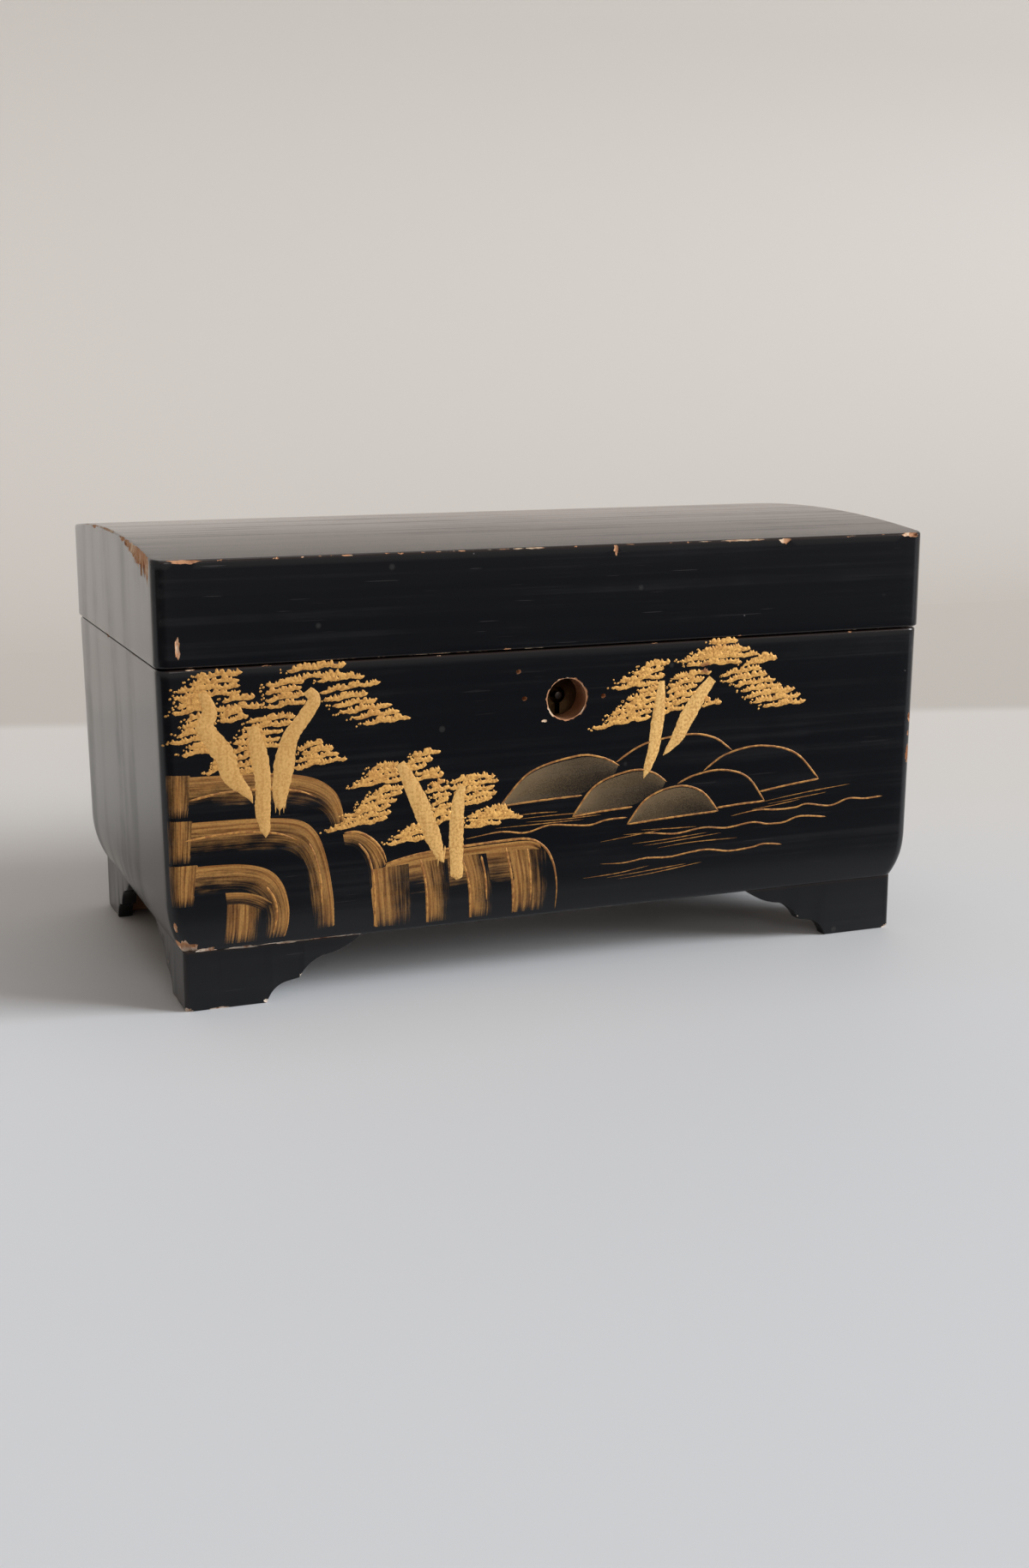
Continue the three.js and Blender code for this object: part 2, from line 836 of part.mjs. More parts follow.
// The lock in the front wall and its strike in the lid.
addPiece(caseGroup, "lock_housing", lockHousing(), brass);
addPiece(caseGroup, "lock_cover", lockCover(), brass);
addPiece(caseGroup, "lock_bolt", lockBolt(), brass);
addPiece(
  caseGroup,
  "key_post",
  rod(
    "y",
    [0, boreLevel],
    -caseFace + lockSkin - keyPostProud,
    -innerFace - lockSheet,
    keyPostRadius,
    12,
  ),
  brass,
);
addPiece(lidGroup, "lid_strike", lidStrike(), brass);

// The two hinges. The case's leaf carries the pin.
const caseLeaf = hingeLeaf(-1);
const lidLeaf = hingeLeaf(1);
const pinHalf = hingeLength / 2 + pinProud;
const pin = rod("x", [hingeAxisY, hingeAxisZ], -pinHalf, pinHalf, pinRadius, 12);
for (const [side, sign] of [["left", -1], ["right", 1]]) {
  const centre = sign * hingeFromMiddle;
  addPiece(caseGroup, `hinge_${side}_case_leaf`, caseLeaf, brass).position.x = centre;
  addPiece(lidGroup, `hinge_${side}_lid_leaf`, lidLeaf, brass).position.x = centre;
  addPiece(caseGroup, `hinge_${side}_pin`, pin, brass).position.x = centre;
  for (const [place, end] of [["outer", sign], ["inner", -sign]]) {
    const x = centre + (end * screwSpacing) / 2;
    const down = solid(screwGeometry(0)).transform(screwPlacing(x, rim, -1));
    const up = solid(screwGeometry(0)).transform(screwPlacing(x, lidBottom, 1));
    addPiece(caseGroup, `hinge_${side}_case_screw_${place}`, down, brass);
    addPiece(lidGroup, `hinge_${side}_lid_screw_${place}`, up, brass);
  }
}

// The lid: four walls under a crowned top board, and inside it a covered panel with a framed mirror.
const lidOutside = lidForm();
addPiece(lidGroup, "lid_front", lidFront(lidOutside), lacquer);
addPiece(lidGroup, "lid_back", lidBack(lidOutside), lacquer);
addPiece(lidGroup, "lid_left", lidSide(lidOutside, -1), lacquer);
addPiece(lidGroup, "lid_right", lidSide(lidOutside, 1), lacquer);
addPiece(lidGroup, "lid_top", lidTop(), lacquer);
const panelFace = lidBoardUnderside - lidPanel;
addPiece(
  lidGroup,
  "lid_panel",
  block(-lidInnerEnd, lidInnerEnd, -lidInnerFace, lidInnerFace, panelFace, lidBoardUnderside),
  silk,
);
addPiece(
  lidGroup,
  "mirror",
  block(
    -mirrorWidth / 2,
    mirrorWidth / 2,
    -mirrorDepth / 2,
    mirrorDepth / 2,
    panelFace - mirrorThickness,
    panelFace,
  ),
  glass,
);
addPiece(lidGroup, "mirror_frame", mirrorFrame(), wood);

// The tray: four walls round a raised floor, two dividers and a cross divider, and a pad in each bay.
const trayEnd = linedEnd - traySideGap;
const trayFace = linedFace - traySideGap;
const bayEnd = trayEnd - trayWall;
const bayFace = trayFace - trayWall;
const trayTop = trayBottom + trayHeight;
const bayFloor = trayBottom + trayFloorRaise + trayFloor;
const dividerTop = trayTop - dividerBelowEdge;
addPiece(trayGroup, "tray_front", block(-trayEnd, trayEnd, -trayFace, -bayFace, trayBottom, trayTop), wood);
addPiece(trayGroup, "tray_back", block(-trayEnd, trayEnd, bayFace, trayFace, trayBottom, trayTop), wood);
for (const [side, sign] of [["left", -1], ["right", 1]]) {
  const outer = sign * trayEnd;
  const inner = sign * bayEnd;
  const wall = block(
    Math.min(outer, inner),
    Math.max(outer, inner),
    -bayFace,
    bayFace,
    trayBottom,
    trayTop,
  );
  const notchLevel = trayTop + notchRadius - notchDepth;
  const notch = rod("x", [0, notchLevel], -trayEnd - past, trayEnd + past, notchRadius, 32);
  addPiece(trayGroup, `tray_${side}`, wall.subtract(notch), wood);
}
addPiece(
  trayGroup,
  "tray_floor",
  block(-bayEnd, bayEnd, -bayFace, bayFace, trayBottom + trayFloorRaise, bayFloor),
  wood,
);
const ringDividerFrom = -bayEnd + ringBay;
const ringDividerTo = ringDividerFrom + trayDivider;
const jewelDividerFrom = ringDividerTo + jewelBay;
const jewelDividerTo = jewelDividerFrom + trayDivider;
addPiece(
  trayGroup,
  "tray_divider_rings",
  block(ringDividerFrom, ringDividerTo, -bayFace, bayFace, bayFloor, dividerTop),
  wood,
);
addPiece(
  trayGroup,
  "tray_divider_middle",
  block(jewelDividerFrom, jewelDividerTo, -bayFace, bayFace, bayFloor, dividerTop),
  wood,
);
addPiece(
  trayGroup,
  "tray_divider_cross",
  block(jewelDividerTo, bayEnd, -trayDivider / 2, trayDivider / 2, bayFloor, dividerTop),
  wood,
);
addPiece(
  trayGroup,
  "ring_pad",
  ringPad(-bayEnd + softGap, ringDividerFrom - softGap, -bayFace + softGap, bayFace - softGap, bayFloor),
  velvet,
);
addPiece(
  trayGroup,
  "tray_pad_middle",
  cushion(
    ringDividerTo + softGap,
    jewelDividerFrom - softGap,
    -bayFace + softGap,
    bayFace - softGap,
    bayFloor,
    trayPadHeight,
  ),
  velvet,
);
for (const [place, sign] of [["front", -1], ["back", 1]]) {
  const near = (sign * trayDivider) / 2 + sign * softGap;
  const far = sign * (bayFace - softGap);
  addPiece(
    trayGroup,
    `tray_pad_${place}`,
    cushion(
      jewelDividerTo + softGap,
      bayEnd - softGap,
      Math.min(near, far),
      Math.max(near, far),
      bayFloor,
      trayPadHeight,
    ),
    velvet,
  );
}

export default box;
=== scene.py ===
import json
import math

import bmesh
import bpy
import numpy as np
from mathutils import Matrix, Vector

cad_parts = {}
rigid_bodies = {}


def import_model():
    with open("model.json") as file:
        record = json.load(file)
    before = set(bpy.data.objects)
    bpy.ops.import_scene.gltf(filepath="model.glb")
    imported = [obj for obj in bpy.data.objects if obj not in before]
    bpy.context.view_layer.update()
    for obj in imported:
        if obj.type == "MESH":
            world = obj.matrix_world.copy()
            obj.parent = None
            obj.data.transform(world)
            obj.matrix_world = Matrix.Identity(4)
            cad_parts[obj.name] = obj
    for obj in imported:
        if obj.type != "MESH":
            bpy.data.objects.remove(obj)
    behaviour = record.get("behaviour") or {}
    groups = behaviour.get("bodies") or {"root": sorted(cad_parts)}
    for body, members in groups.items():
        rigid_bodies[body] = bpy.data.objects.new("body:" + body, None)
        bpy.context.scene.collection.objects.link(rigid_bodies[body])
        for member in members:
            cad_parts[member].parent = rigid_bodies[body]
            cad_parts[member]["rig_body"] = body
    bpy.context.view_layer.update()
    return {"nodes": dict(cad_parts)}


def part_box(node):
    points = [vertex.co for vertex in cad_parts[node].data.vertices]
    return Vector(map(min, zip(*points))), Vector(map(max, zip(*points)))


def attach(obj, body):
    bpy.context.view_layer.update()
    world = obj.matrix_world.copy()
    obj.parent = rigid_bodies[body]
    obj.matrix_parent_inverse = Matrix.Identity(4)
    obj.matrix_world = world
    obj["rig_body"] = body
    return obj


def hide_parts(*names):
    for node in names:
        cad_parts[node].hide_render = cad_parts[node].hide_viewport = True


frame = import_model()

nodes = frame["nodes"]


# Case walls
# Four pine boards 12 mm thick, butted and glued, under one skin of black lacquer. The ends lean in and then
# sweep in to the feet; the front and the back only sweep in at the bottom.
MM = 0.001
case_low, case_high = (np.array(c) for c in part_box("case_front"))
case_bottom_z = case_low[2]
rim_z = case_high[2]
case_half = np.array([case_high[0], -case_low[1]])
wall_thickness = case_high[1] - case_low[1]
corner_radius = 4.3 * MM
edge_radius = 0.8 * MM
end_lean = 0.8 * MM
end_sweep_height, end_sweep_radius = 16.3 * MM, 35 * MM
front_sweep_height, front_sweep_radius = 11.3 * MM, 30 * MM
arc_columns = 12
front_columns = 72
end_columns = 40


def ring_columns():
    """Unit directions of the columns round a rounded rectangle, starting on the front and turning left to right.
    A column stands at centre * (half size - radius) + turn * radius."""
    centres, turns = [], []
    corners = [(1, -1), (1, 1), (-1, 1), (-1, -1)]
    for number, (sx, sy) in enumerate(corners):
        angle = np.pi / 2 * (number - 1 + np.linspace(0, 1, arc_columns))
        centres.append(np.tile([sx, sy], (arc_columns, 1)))
        turns.append(np.stack([np.cos(angle), np.sin(angle)], -1))
        following = np.array(corners[(number + 1) % 4])
        steps = end_columns if number % 2 == 0 else front_columns
        along = np.linspace(0, 1, steps + 2)[1:-1, None]
        centres.append((1 - along) * np.array([sx, sy]) + along * following)
        turns.append(np.tile(turns[-1][-1], (steps, 1)))
    return np.concatenate(centres), np.concatenate(turns)


column_centre, column_turn = ring_columns()


def rings(half_x, half_y, radius, height):
    """One ring of columns for every row: (half size - radius) * centre + radius * turn, at the row's height."""
    half = np.stack([half_x, half_y], -1)[:, None, :]
    radius = np.minimum(radius[:, None, None], half)
    flat = (half - radius) * column_centre + radius * column_turn
    height = np.broadcast_to(height, flat.shape[:2])
    return np.concatenate([flat, height[..., None]], -1)


def grid_mesh(name, grids, wrap_rows=False, wrap_columns=True, brush=None):
    """One mesh from grids of points, each joined into quads along its rows and columns, and along the axes that
    close on themselves. brush is an optional list of grids with three values per point, kept as an attribute."""
    corners, quads, start = [], [], 0
    for points in grids:
        rows, columns = points.shape[:2]
        number = start + np.arange(rows * columns).reshape(rows, columns)
        if wrap_columns:
            number = np.hstack([number, number[:, :1]])
        if wrap_rows:
            number = np.vstack([number, number[:1]])
        quads.append(np.stack([number[:-1, :-1], number[:-1, 1:], number[1:, 1:], number[1:, :-1]], -1).reshape(-1, 4))
        corners.append(points.reshape(-1, 3))
        start += rows * columns
    mesh = bpy.data.meshes.new(name)
    mesh.from_pydata(np.concatenate(corners), [], np.concatenate(quads).tolist())
    if brush is not None:
        values = np.concatenate([grid.reshape(-1, 3) for grid in brush]).astype(np.float32)
        mesh.attributes.new("brush", "FLOAT_VECTOR", "POINT").data.foreach_set("vector", values.ravel())
    return mesh


def as_object(mesh, *materials):
    """An object at the origin that holds the mesh, in the scene, with its material slots filled."""
    for material in materials:
        mesh.materials.append(material)
    piece = bpy.data.objects.new(mesh.name, mesh)
    bpy.context.scene.collection.objects.link(piece)
    return piece


def clean_mesh(mesh, merge=1e-6, sharp_degrees=32):
    """Merges doubled points, turns the faces outwards, and shades smooth across the edges that are blunter than the
    angle and don't part two materials."""
    work = bmesh.new()
    work.from_mesh(mesh)
    bmesh.ops.remove_doubles(work, verts=work.verts, dist=merge)
    bmesh.ops.dissolve_degenerate(work, edges=work.edges, dist=merge)
    bmesh.ops.recalc_face_normals(work, faces=work.faces)
    for face in work.faces:
        face.smooth = True
    for edge in work.edges:
        same = len({face.material_index for face in edge.link_faces}) == 1
        blunt = edge.calc_face_angle(0) < math.radians(sharp_degrees)
        edge.smooth = len(edge.link_faces) == 2 and same and blunt
    work.to_mesh(mesh)
    work.free()
    return mesh


def cut_away(piece, *cutters, overlapping=False):
    """Takes the volume of the cutter meshes out of the piece, which may be of overlapping bodies. A cut face keeps
    its cutter's material index."""
    tools = bpy.data.collections.new("cutters")
    for mesh in cutters:
        tools.objects.link(bpy.data.objects.new(mesh.name, mesh))
    cut = piece.modifiers.new("cut", "BOOLEAN")
    cut.operation = "DIFFERENCE"
    cut.solver = "EXACT"
    cut.use_self = overlapping
    cut.operand_type = "COLLECTION"
    cut.collection = tools
    bpy.context.view_layer.update()
    graph = bpy.context.evaluated_depsgraph_get()
    result = bpy.data.meshes.new_from_object(piece.evaluated_get(graph))
    piece.modifiers.remove(cut)
    old = piece.data
    result.name = old.name
    piece.data = result
    bpy.data.meshes.remove(old)
    for tool in list(tools.objects):
        bpy.data.objects.remove(tool)
    bpy.data.collections.remove(tools)
    clean_mesh(result)


def as_cutter(mesh, material_index):
    """Gives every face of a cutter the material index that its cut faces will have."""
    mesh.polygons.foreach_set("material_index", np.full(len(mesh.polygons), material_index, np.int32))
    return mesh


def bar(name, low, high, material_index=1):
    """A closed box between two corners, as a cutter or as the start of a plain block."""
    low, high = np.array(low, float), np.array(high, float)
    turn = np.array([[0, 0], [1, 0], [1, 1], [0, 1]], float)
    ring = low[:2] + turn * (high[:2] - low[:2])
    middle = np.tile(ring.mean(0), (4, 1))
    rows = [(middle, low[2]), (ring, low[2]), (ring, high[2]), (middle, high[2])]
    points = np.stack([np.hstack([flat, np.full((4, 1), z)]) for flat, z in rows])
    return as_cutter(clean_mesh(grid_mesh(name, [points])), material_index)


def sweep(height, lean, sweep_height, sweep_radius):
    """Inset of a case face at a height: a straight lean, and below the sweep's start a circular arc added to it."""
    up = height - case_bottom_z
    full = rim_z - case_bottom_z
    leaning = lean * (full - np.maximum(up, sweep_height)) / (full - sweep_height)
    below = np.clip(sweep_height - up, 0, None)
    return leaning + sweep_radius - np.sqrt(sweep_radius**2 - below**2)


def case_profile():
    """Rows of the case wall as inset, height and share of the sweep: up the outside, over the rim, down inside."""
    low, high = case_bottom_z, rim_z
    r = edge_radius
    ease = 0.4 * MM
    inner = wall_thickness
    rows = [(r + r * np.cos(a), low + r + r * np.sin(a), 1) for a in np.radians(np.linspace(-90, -180, 5))]
    rows += [(0, z, 1) for z in low + r + (end_sweep_height - r) * np.linspace(0, 1, 19)[1:]]
    rows += [(0, z, 1) for z in np.linspace(low + end_sweep_height, high - r, 26)[1:]]
    rows += [(r + r * np.cos(a), high - r + r * np.sin(a), 1) for a in np.radians(np.linspace(180, 90, 5))[1:]]
    rows += [(inner - ease + ease * np.cos(a), high - ease + ease * np.sin(a), 0)
             for a in np.radians(np.linspace(90, 0, 4))]
    rows += [(inner, low, 0)]
    return np.array(rows).T


inset, height, swept = case_profile()
case_points = rings(
    case_half[0] - inset - swept * sweep(height, end_lean, end_sweep_height, end_sweep_radius),
    case_half[1] - inset - swept * sweep(height, 0, front_sweep_height, front_sweep_radius),
    np.maximum(corner_radius - inset, 0.5 * MM),
    height[:, None],
)


def add(tree, kind, inputs=None, **settings):
    """Adds a node, sets its options, and fills each named input with a value or with a link from a socket."""
    node = tree.nodes.new(kind)
    for name, value in settings.items():
        setattr(node, name, value)
    for name, value in (inputs or {}).items():
        if isinstance(value, bpy.types.NodeSocket):
            tree.links.new(value, node.inputs[name])
        else:
            node.inputs[name].default_value = value
    return node


def calc(tree, operation, first, second=0.0, clamp=False):
    """A Math node on two values or sockets."""
    return add(tree, "ShaderNodeMath", {0: first, 1: second}, operation=operation, use_clamp=clamp).outputs[0]


def noise(tree, vector, stretch, scale=1.0, detail=3.0, roughness=0.5):
    """Noise over a vector whose three axes are stretched first. The numbers are cells per metre."""
    mapped = add(tree, "ShaderNodeMapping", {"Vector": vector, "Scale": stretch}).outputs[0]
    cells = {"Vector": mapped, "Scale": scale, "Detail": detail, "Roughness": roughness}
    return add(tree, "ShaderNodeTexNoise", cells).outputs["Fac"]


def step_up(tree, value, low, high, to_low=0.0, to_high=1.0):
    """A soft step of the value from low to high."""
    inputs = {"Value": value, "From Min": low, "From Max": high, "To Min": to_low, "To Max": to_high}
    return add(tree, "ShaderNodeMapRange", inputs, interpolation_type="SMOOTHSTEP").outputs[0]


def blend_colour(tree, share, first, second):
    """The first colour, passing to the second as the share goes from 0 to 1."""
    return add(tree, "ShaderNodeMix", {0: share, 6: first, 7: second}, data_type="RGBA").outputs[2]


def object_place(tree):
    """The point's place on the object, in metres."""
    return add(tree, "ShaderNodeTexCoord").outputs["Object"]


def bumped(tree, height, distance):
    """A normal from a height, whose full swing is the distance."""
    return add(tree, "ShaderNodeBump", {"Height": height, "Distance": distance, "Strength": 1.0}).outputs[0]


def new_material(name, **plain):
    """A node material, its tree and its Principled shader, with constant sockets set by name."""
    material = bpy.data.materials.new(name)
    material.use_nodes = True
    shader = material.node_tree.nodes["Principled BSDF"]
    for label, value in plain.items():
        shader.inputs[label.replace("_", " ").title().replace("Ior", "IOR")].default_value = value
    return material, material.node_tree, shader


def new_group(name, inputs, outputs):
    """A shader node group with named inputs and outputs, both lists of (label, socket kind)."""
    group = bpy.data.node_groups.new(name, "ShaderNodeTree")
    for label, kind in inputs:
        group.interface.new_socket(label, in_out="INPUT", socket_type=kind)
    for label, kind in outputs:
        group.interface.new_socket(label, in_out="OUTPUT", socket_type=kind)
    return group, add(group, "NodeGroupInput").outputs, add(group, "NodeGroupOutput").inputs


VECTOR, COLOUR, VALUE = "NodeSocketVector", "NodeSocketColor", "NodeSocketFloat"


def place_group(tree, group, inputs):
    """Places a group in a tree, fills its inputs and gives its outputs."""
    node = add(tree, "ShaderNodeGroup", node_tree=group)
    for name, value in inputs.items():
        if isinstance(value, bpy.types.NodeSocket):
            tree.links.new(value, node.inputs[name])
        else:
            node.inputs[name].default_value = value
    return node.outputs


# The film of old lacquer: brush streaks run along X on the front, back and top, and up and down on the ends.
film, film_in, film_out = new_group("lacquer_film", [("Place", VECTOR), ("Worn", VALUE)],
                                    [("Color", COLOUR), ("Roughness", VALUE), ("Height", VALUE)])
facing = add(film, "ShaderNodeSeparateXYZ", {0: add(film, "ShaderNodeNewGeometry").outputs["Normal"]}).outputs["X"]
on_end = step_up(film, calc(film, "ABSOLUTE", facing), 0.6, 0.8)
streak_long = noise(film, film_in["Place"], (5, 330, 330), detail=5, roughness=0.62)
streak_up = noise(film, film_in["Place"], (70, 70, 7), detail=3)
streak = add(film, "ShaderNodeMix", {0: on_end, 2: streak_long, 3: streak_up}, data_type="FLOAT").outputs[0]
cloud = noise(film, film_in["Place"], (22, 22, 34), detail=5, roughness=0.6)
peel = noise(film, film_in["Place"], (160, 160, 160), detail=1)
haze = step_up(film, calc(film, "ADD", calc(film, "MULTIPLY", streak, 0.7), calc(film, "MULTIPLY", cloud, 0.5)),
               0.58, 0.78)
specks = add(film, "ShaderNodeTexVoronoi", {"Vector": film_in["Place"], "Scale": 130.0})
speck_chosen = calc(film, "GREATER_THAN", add(film, "ShaderNodeSeparateColor", {0: specks.outputs["Color"]})
                    .outputs[0], 0.93)
speck = calc(film, "MULTIPLY", step_up(film, specks.outputs["Distance"], 0.045, 0.02), speck_chosen)
dust_spots = add(film, "ShaderNodeTexVoronoi", {"Vector": film_in["Place"], "Scale": 55.0}).outputs["Distance"]
speck = calc(film, "MAXIMUM", speck, step_up(film, dust_spots, 0.068, 0.03, 0.0, 0.2))
scratch_noise = noise(film, film_in["Place"], (50, 900, 1400), detail=0)
scratch = calc(film, "MULTIPLY", step_up(film, scratch_noise, 0.79, 0.83), film_in["Worn"])
film_colour = blend_colour(film, calc(film, "MULTIPLY", haze, 0.6), (0.0030, 0.0035, 0.0052, 1),
                           (0.0075, 0.0080, 0.0105, 1))
film_colour = blend_colour(film, calc(film, "MULTIPLY", scratch, 0.5), film_colour, (0.05, 0.045, 0.045, 1))
film_colour = blend_colour(film, calc(film, "MULTIPLY", speck, 0.45), film_colour, (0.22, 0.21, 0.20, 1))
film.links.new(film_colour, film_out["Color"])
film.links.new(calc(film, "ADD", step_up(film, streak, 0.35, 0.7, 0.15, 0.20), calc(film, "MULTIPLY", haze, 0.07)),
               film_out["Roughness"])
film.links.new(calc(film, "ADD", calc(film, "MULTIPLY", streak, 0.5), calc(film, "MULTIPLY", peel, 0.5)),
               film_out["Height"])

# Wear along the edges of a box: ragged patches where the two nearest faces are both close.
rub, rub_in, rub_out = new_group(
    "edge_wear", [("Place", VECTOR), ("Half X", VALUE), ("Half Y", VALUE), ("Low", VALUE), ("High", VALUE),
                  ("Rise", VALUE), ("Width", VALUE), ("Amount", VALUE)], [("Mask", VALUE), ("Near", VALUE)])
place_parts = add(rub, "ShaderNodeSeparateXYZ", {0: rub_in["Place"]}).outputs
from_end = calc(rub, "SUBTRACT", rub_in["Half X"], calc(rub, "ABSOLUTE", place_parts["X"]))
from_face = calc(rub, "SUBTRACT", rub_in["Half Y"], calc(rub, "ABSOLUTE", place_parts["Y"]))
across_top = calc(rub, "POWER", calc(rub, "DIVIDE", calc(rub, "ABSOLUTE", place_parts["Y"]), rub_in["Half Y"]), 2.0)
arched_top = calc(rub, "SUBTRACT", rub_in["High"], calc(rub, "MULTIPLY", rub_in["Rise"], across_top))
from_foot = calc(rub, "MULTIPLY", calc(rub, "SUBTRACT", place_parts["Z"], rub_in["Low"]), 2.0)
from_level = calc(rub, "MINIMUM", from_foot,
                  calc(rub, "SUBTRACT", arched_top, place_parts["Z"]))
nearest = calc(rub, "MINIMUM", from_end, from_face)
farther = calc(rub, "MAXIMUM", from_end, from_face)
edge_distance = calc(rub, "MAXIMUM", nearest, calc(rub, "MINIMUM", farther, from_level))
closeness = calc(rub, "SUBTRACT", 1.0, calc(rub, "DIVIDE", edge_distance, rub_in["Width"]), clamp=True)
ragged = noise(rub, rub_in["Place"], (300, 300, 300), detail=5, roughness=0.65)
patchy = noise(rub, rub_in["Place"], (34, 34, 34), detail=2)
wear = calc(rub, "ADD", calc(rub, "MULTIPLY", closeness, rub_in["Amount"]),
            calc(rub, "ADD", calc(rub, "MULTIPLY", ragged, 0.5), calc(rub, "MULTIPLY", patchy, 0.9)))
rub.links.new(step_up(rub, wear, 1.22, 1.30), rub_out["Mask"])
rub.links.new(closeness, rub_out["Near"])


def lacquered(name, half_x, half_y, low, high, amount, rise=0.0):
    """Black lacquer over a box of the given half sizes and levels. The film wears through to tan at its edges. A
    top that rises to an arc is also rubbed thin to a reddish undercoat in streaks."""
    material, tree, shader = new_material(name, ior=1.45)
    place = object_place(tree)
    skin = place_group(tree, film, {"Place": place, "Worn": 1.0 if rise else 0.35})
    edges = place_group(tree, rub, {"Place": place, "Half X": half_x, "Half Y": half_y, "Low": low, "High": high,
                                    "Rise": rise, "Width": 1.4 * MM, "Amount": amount})
    worn = edges["Mask"]
    tone = noise(tree, place, (240, 240, 240), detail=4)
    # Worn film and painted highlight: near every edge the black is tinted brown, partly film rubbed thin and partly a
    # painted highlight along the edge.
    near = calc(tree, "MULTIPLY", calc(tree, "POWER", edges["Near"], 2.0), 0.6)
    colour = blend_colour(tree, near, skin["Color"], (0.045, 0.024, 0.016, 1))
    if rise:
        parts = add(tree, "ShaderNodeSeparateXYZ", {0: place}).outputs
        on_top = step_up(tree, parts["Z"], high - 3.9 * MM, high - 3.0 * MM)
        streaks = noise(tree, place, (16, 420, 1), detail=4, roughness=0.6)
        patches = noise(tree, place, (9, 24, 1), detail=4)
        thin = step_up(tree, calc(tree, "ADD", streaks, calc(tree, "MULTIPLY", patches, 0.9)), 1.04, 1.24)
        thin = calc(tree, "MULTIPLY", thin, on_top)
        colour = blend_colour(tree, calc(tree, "MULTIPLY", thin, 0.5), colour, (0.10, 0.045, 0.028, 1))
    ground = blend_colour(tree, step_up(tree, tone, 0.4, 0.62), (0.30, 0.15, 0.075, 1), (0.62, 0.47, 0.32, 1))
    colour = blend_colour(tree, worn, colour, ground)
    tree.links.new(colour, shader.inputs["Base Color"])
    roughness = add(tree, "ShaderNodeMix", {0: worn, 2: skin["Roughness"], 3: 0.7}, data_type="FLOAT").outputs[0]
    tree.links.new(roughness, shader.inputs["Roughness"])
    lowered = calc(tree, "SUBTRACT", skin["Height"], calc(tree, "MULTIPLY", worn, 14.0))
    tree.links.new(bumped(tree, lowered, 0.005 * MM), shader.inputs["Normal"])
    return material


case_lacquer = lacquered("case_lacquer", case_half[0], case_half[1], case_bottom_z, rim_z, 0.42)

chipped_wood, chip_tree, chip_shader = new_material("chipped_wood", roughness=0.85)
chip_place = object_place(chip_tree)
chip_tone = noise(chip_tree, chip_place, (300, 300, 90), detail=5, roughness=0.65)
chip_colour = blend_colour(chip_tree, step_up(chip_tree, chip_tone, 0.30, 0.46), (0.20, 0.075, 0.035, 1),
                           (0.56, 0.29, 0.15, 1))
chip_colour = blend_colour(chip_tree, step_up(chip_tree, chip_tone, 0.52, 0.64), chip_colour, (0.80, 0.62, 0.45, 1))
chip_level = add(chip_tree, "ShaderNodeSeparateXYZ", {0: chip_place}).outputs["Z"]
cream_share = calc(chip_tree, "MULTIPLY", step_up(chip_tree, chip_level, 20.4 * MM, 19.2 * MM),
                   step_up(chip_tree, chip_tone, 0.36, 0.50))
chip_colour = blend_colour(chip_tree, cream_share, chip_colour, (0.72, 0.62, 0.52, 1))
chip_tree.links.new(chip_colour, chip_shader.inputs["Base Color"])
chip_tree.links.new(bumped(chip_tree, chip_tone, 0.25 * MM), chip_shader.inputs["Normal"])

# Bare pine, seen where the boards are cut: rings run along X.
pine, pine_tree, pine_shader = new_material("aged_pine", roughness=0.72)
pine_place = object_place(pine_tree)
pine_grain = noise(pine_tree, pine_place, (9, 380, 380), detail=5, roughness=0.6)
pine_bands = noise(pine_tree, pine_place, (4, 90, 90), detail=2)
pine_colour = blend_colour(pine_tree, step_up(pine_tree, pine_bands, 0.38, 0.62), (0.21, 0.085, 0.038, 1),
                           (0.35, 0.18, 0.09, 1))
pine_colour = blend_colour(pine_tree, step_up(pine_tree, pine_grain, 0.5, 0.75, 0, 0.6), pine_colour,
                           (0.12, 0.055, 0.028, 1))
pine_tree.links.new(pine_colour, pine_shader.inputs["Base Color"])
pine_tree.links.new(bumped(pine_tree, pine_grain, 0.15 * MM), pine_shader.inputs["Normal"])

case_shell = as_object(clean_mesh(grid_mesh("case_walls", [case_points], wrap_rows=True)), case_lacquer,
                       chipped_wood, pine)


def round_cutter(name, centre_x, centre_z, y_from, y_to, radius, columns=64, ragged=0.0, material_index=1):
    """A closed bar along Y. Its radius swings by the ragged share with four sines round the turn."""
    turn = np.linspace(0, 2 * np.pi, columns, endpoint=False)
    r = radius * (1 + ragged * (0.8 * np.sin(2 * turn + 1) + 0.7 * np.sin(7 * turn) + 0.6 * np.sin(16 * turn + 2) + 0.5 * np.sin(29 * turn)))
    points = np.zeros((4, columns, 3))
    points[:, :, 0], points[:, :, 2] = centre_x, centre_z
    points[1:3, :, 0] += r * np.cos(turn)
    points[1:3, :, 2] += r * np.sin(turn)
    points[:2, :, 1], points[2:, :, 1] = y_from, y_to
    return as_cutter(clean_mesh(grid_mesh(name, [points])), material_index)


def chip_cutter(name, centre, half, seed, material_index=1):
    """A lump that a chip leaves: an ellipsoid whose radius swings by up to a third in random facets."""
    rows, columns = 9, 16
    random = np.random.default_rng(seed)
    up = np.linspace(-np.pi / 2, np.pi / 2, rows)[:, None]
    turn = np.linspace(0, 2 * np.pi, columns, endpoint=False)[None, :]
    swing = 1 + random.uniform(-0.33, 0.33, (rows, columns))
    swing[0], swing[-1] = 1, 1
    unit = np.stack([np.cos(up) * np.cos(turn), np.cos(up) * np.sin(turn), np.sin(up) + 0 * turn], -1)
    points = np.array(centre) + unit * swing[..., None] * np.array(half)
    return as_cutter(clean_mesh(grid_mesh(name, [points])), material_index)


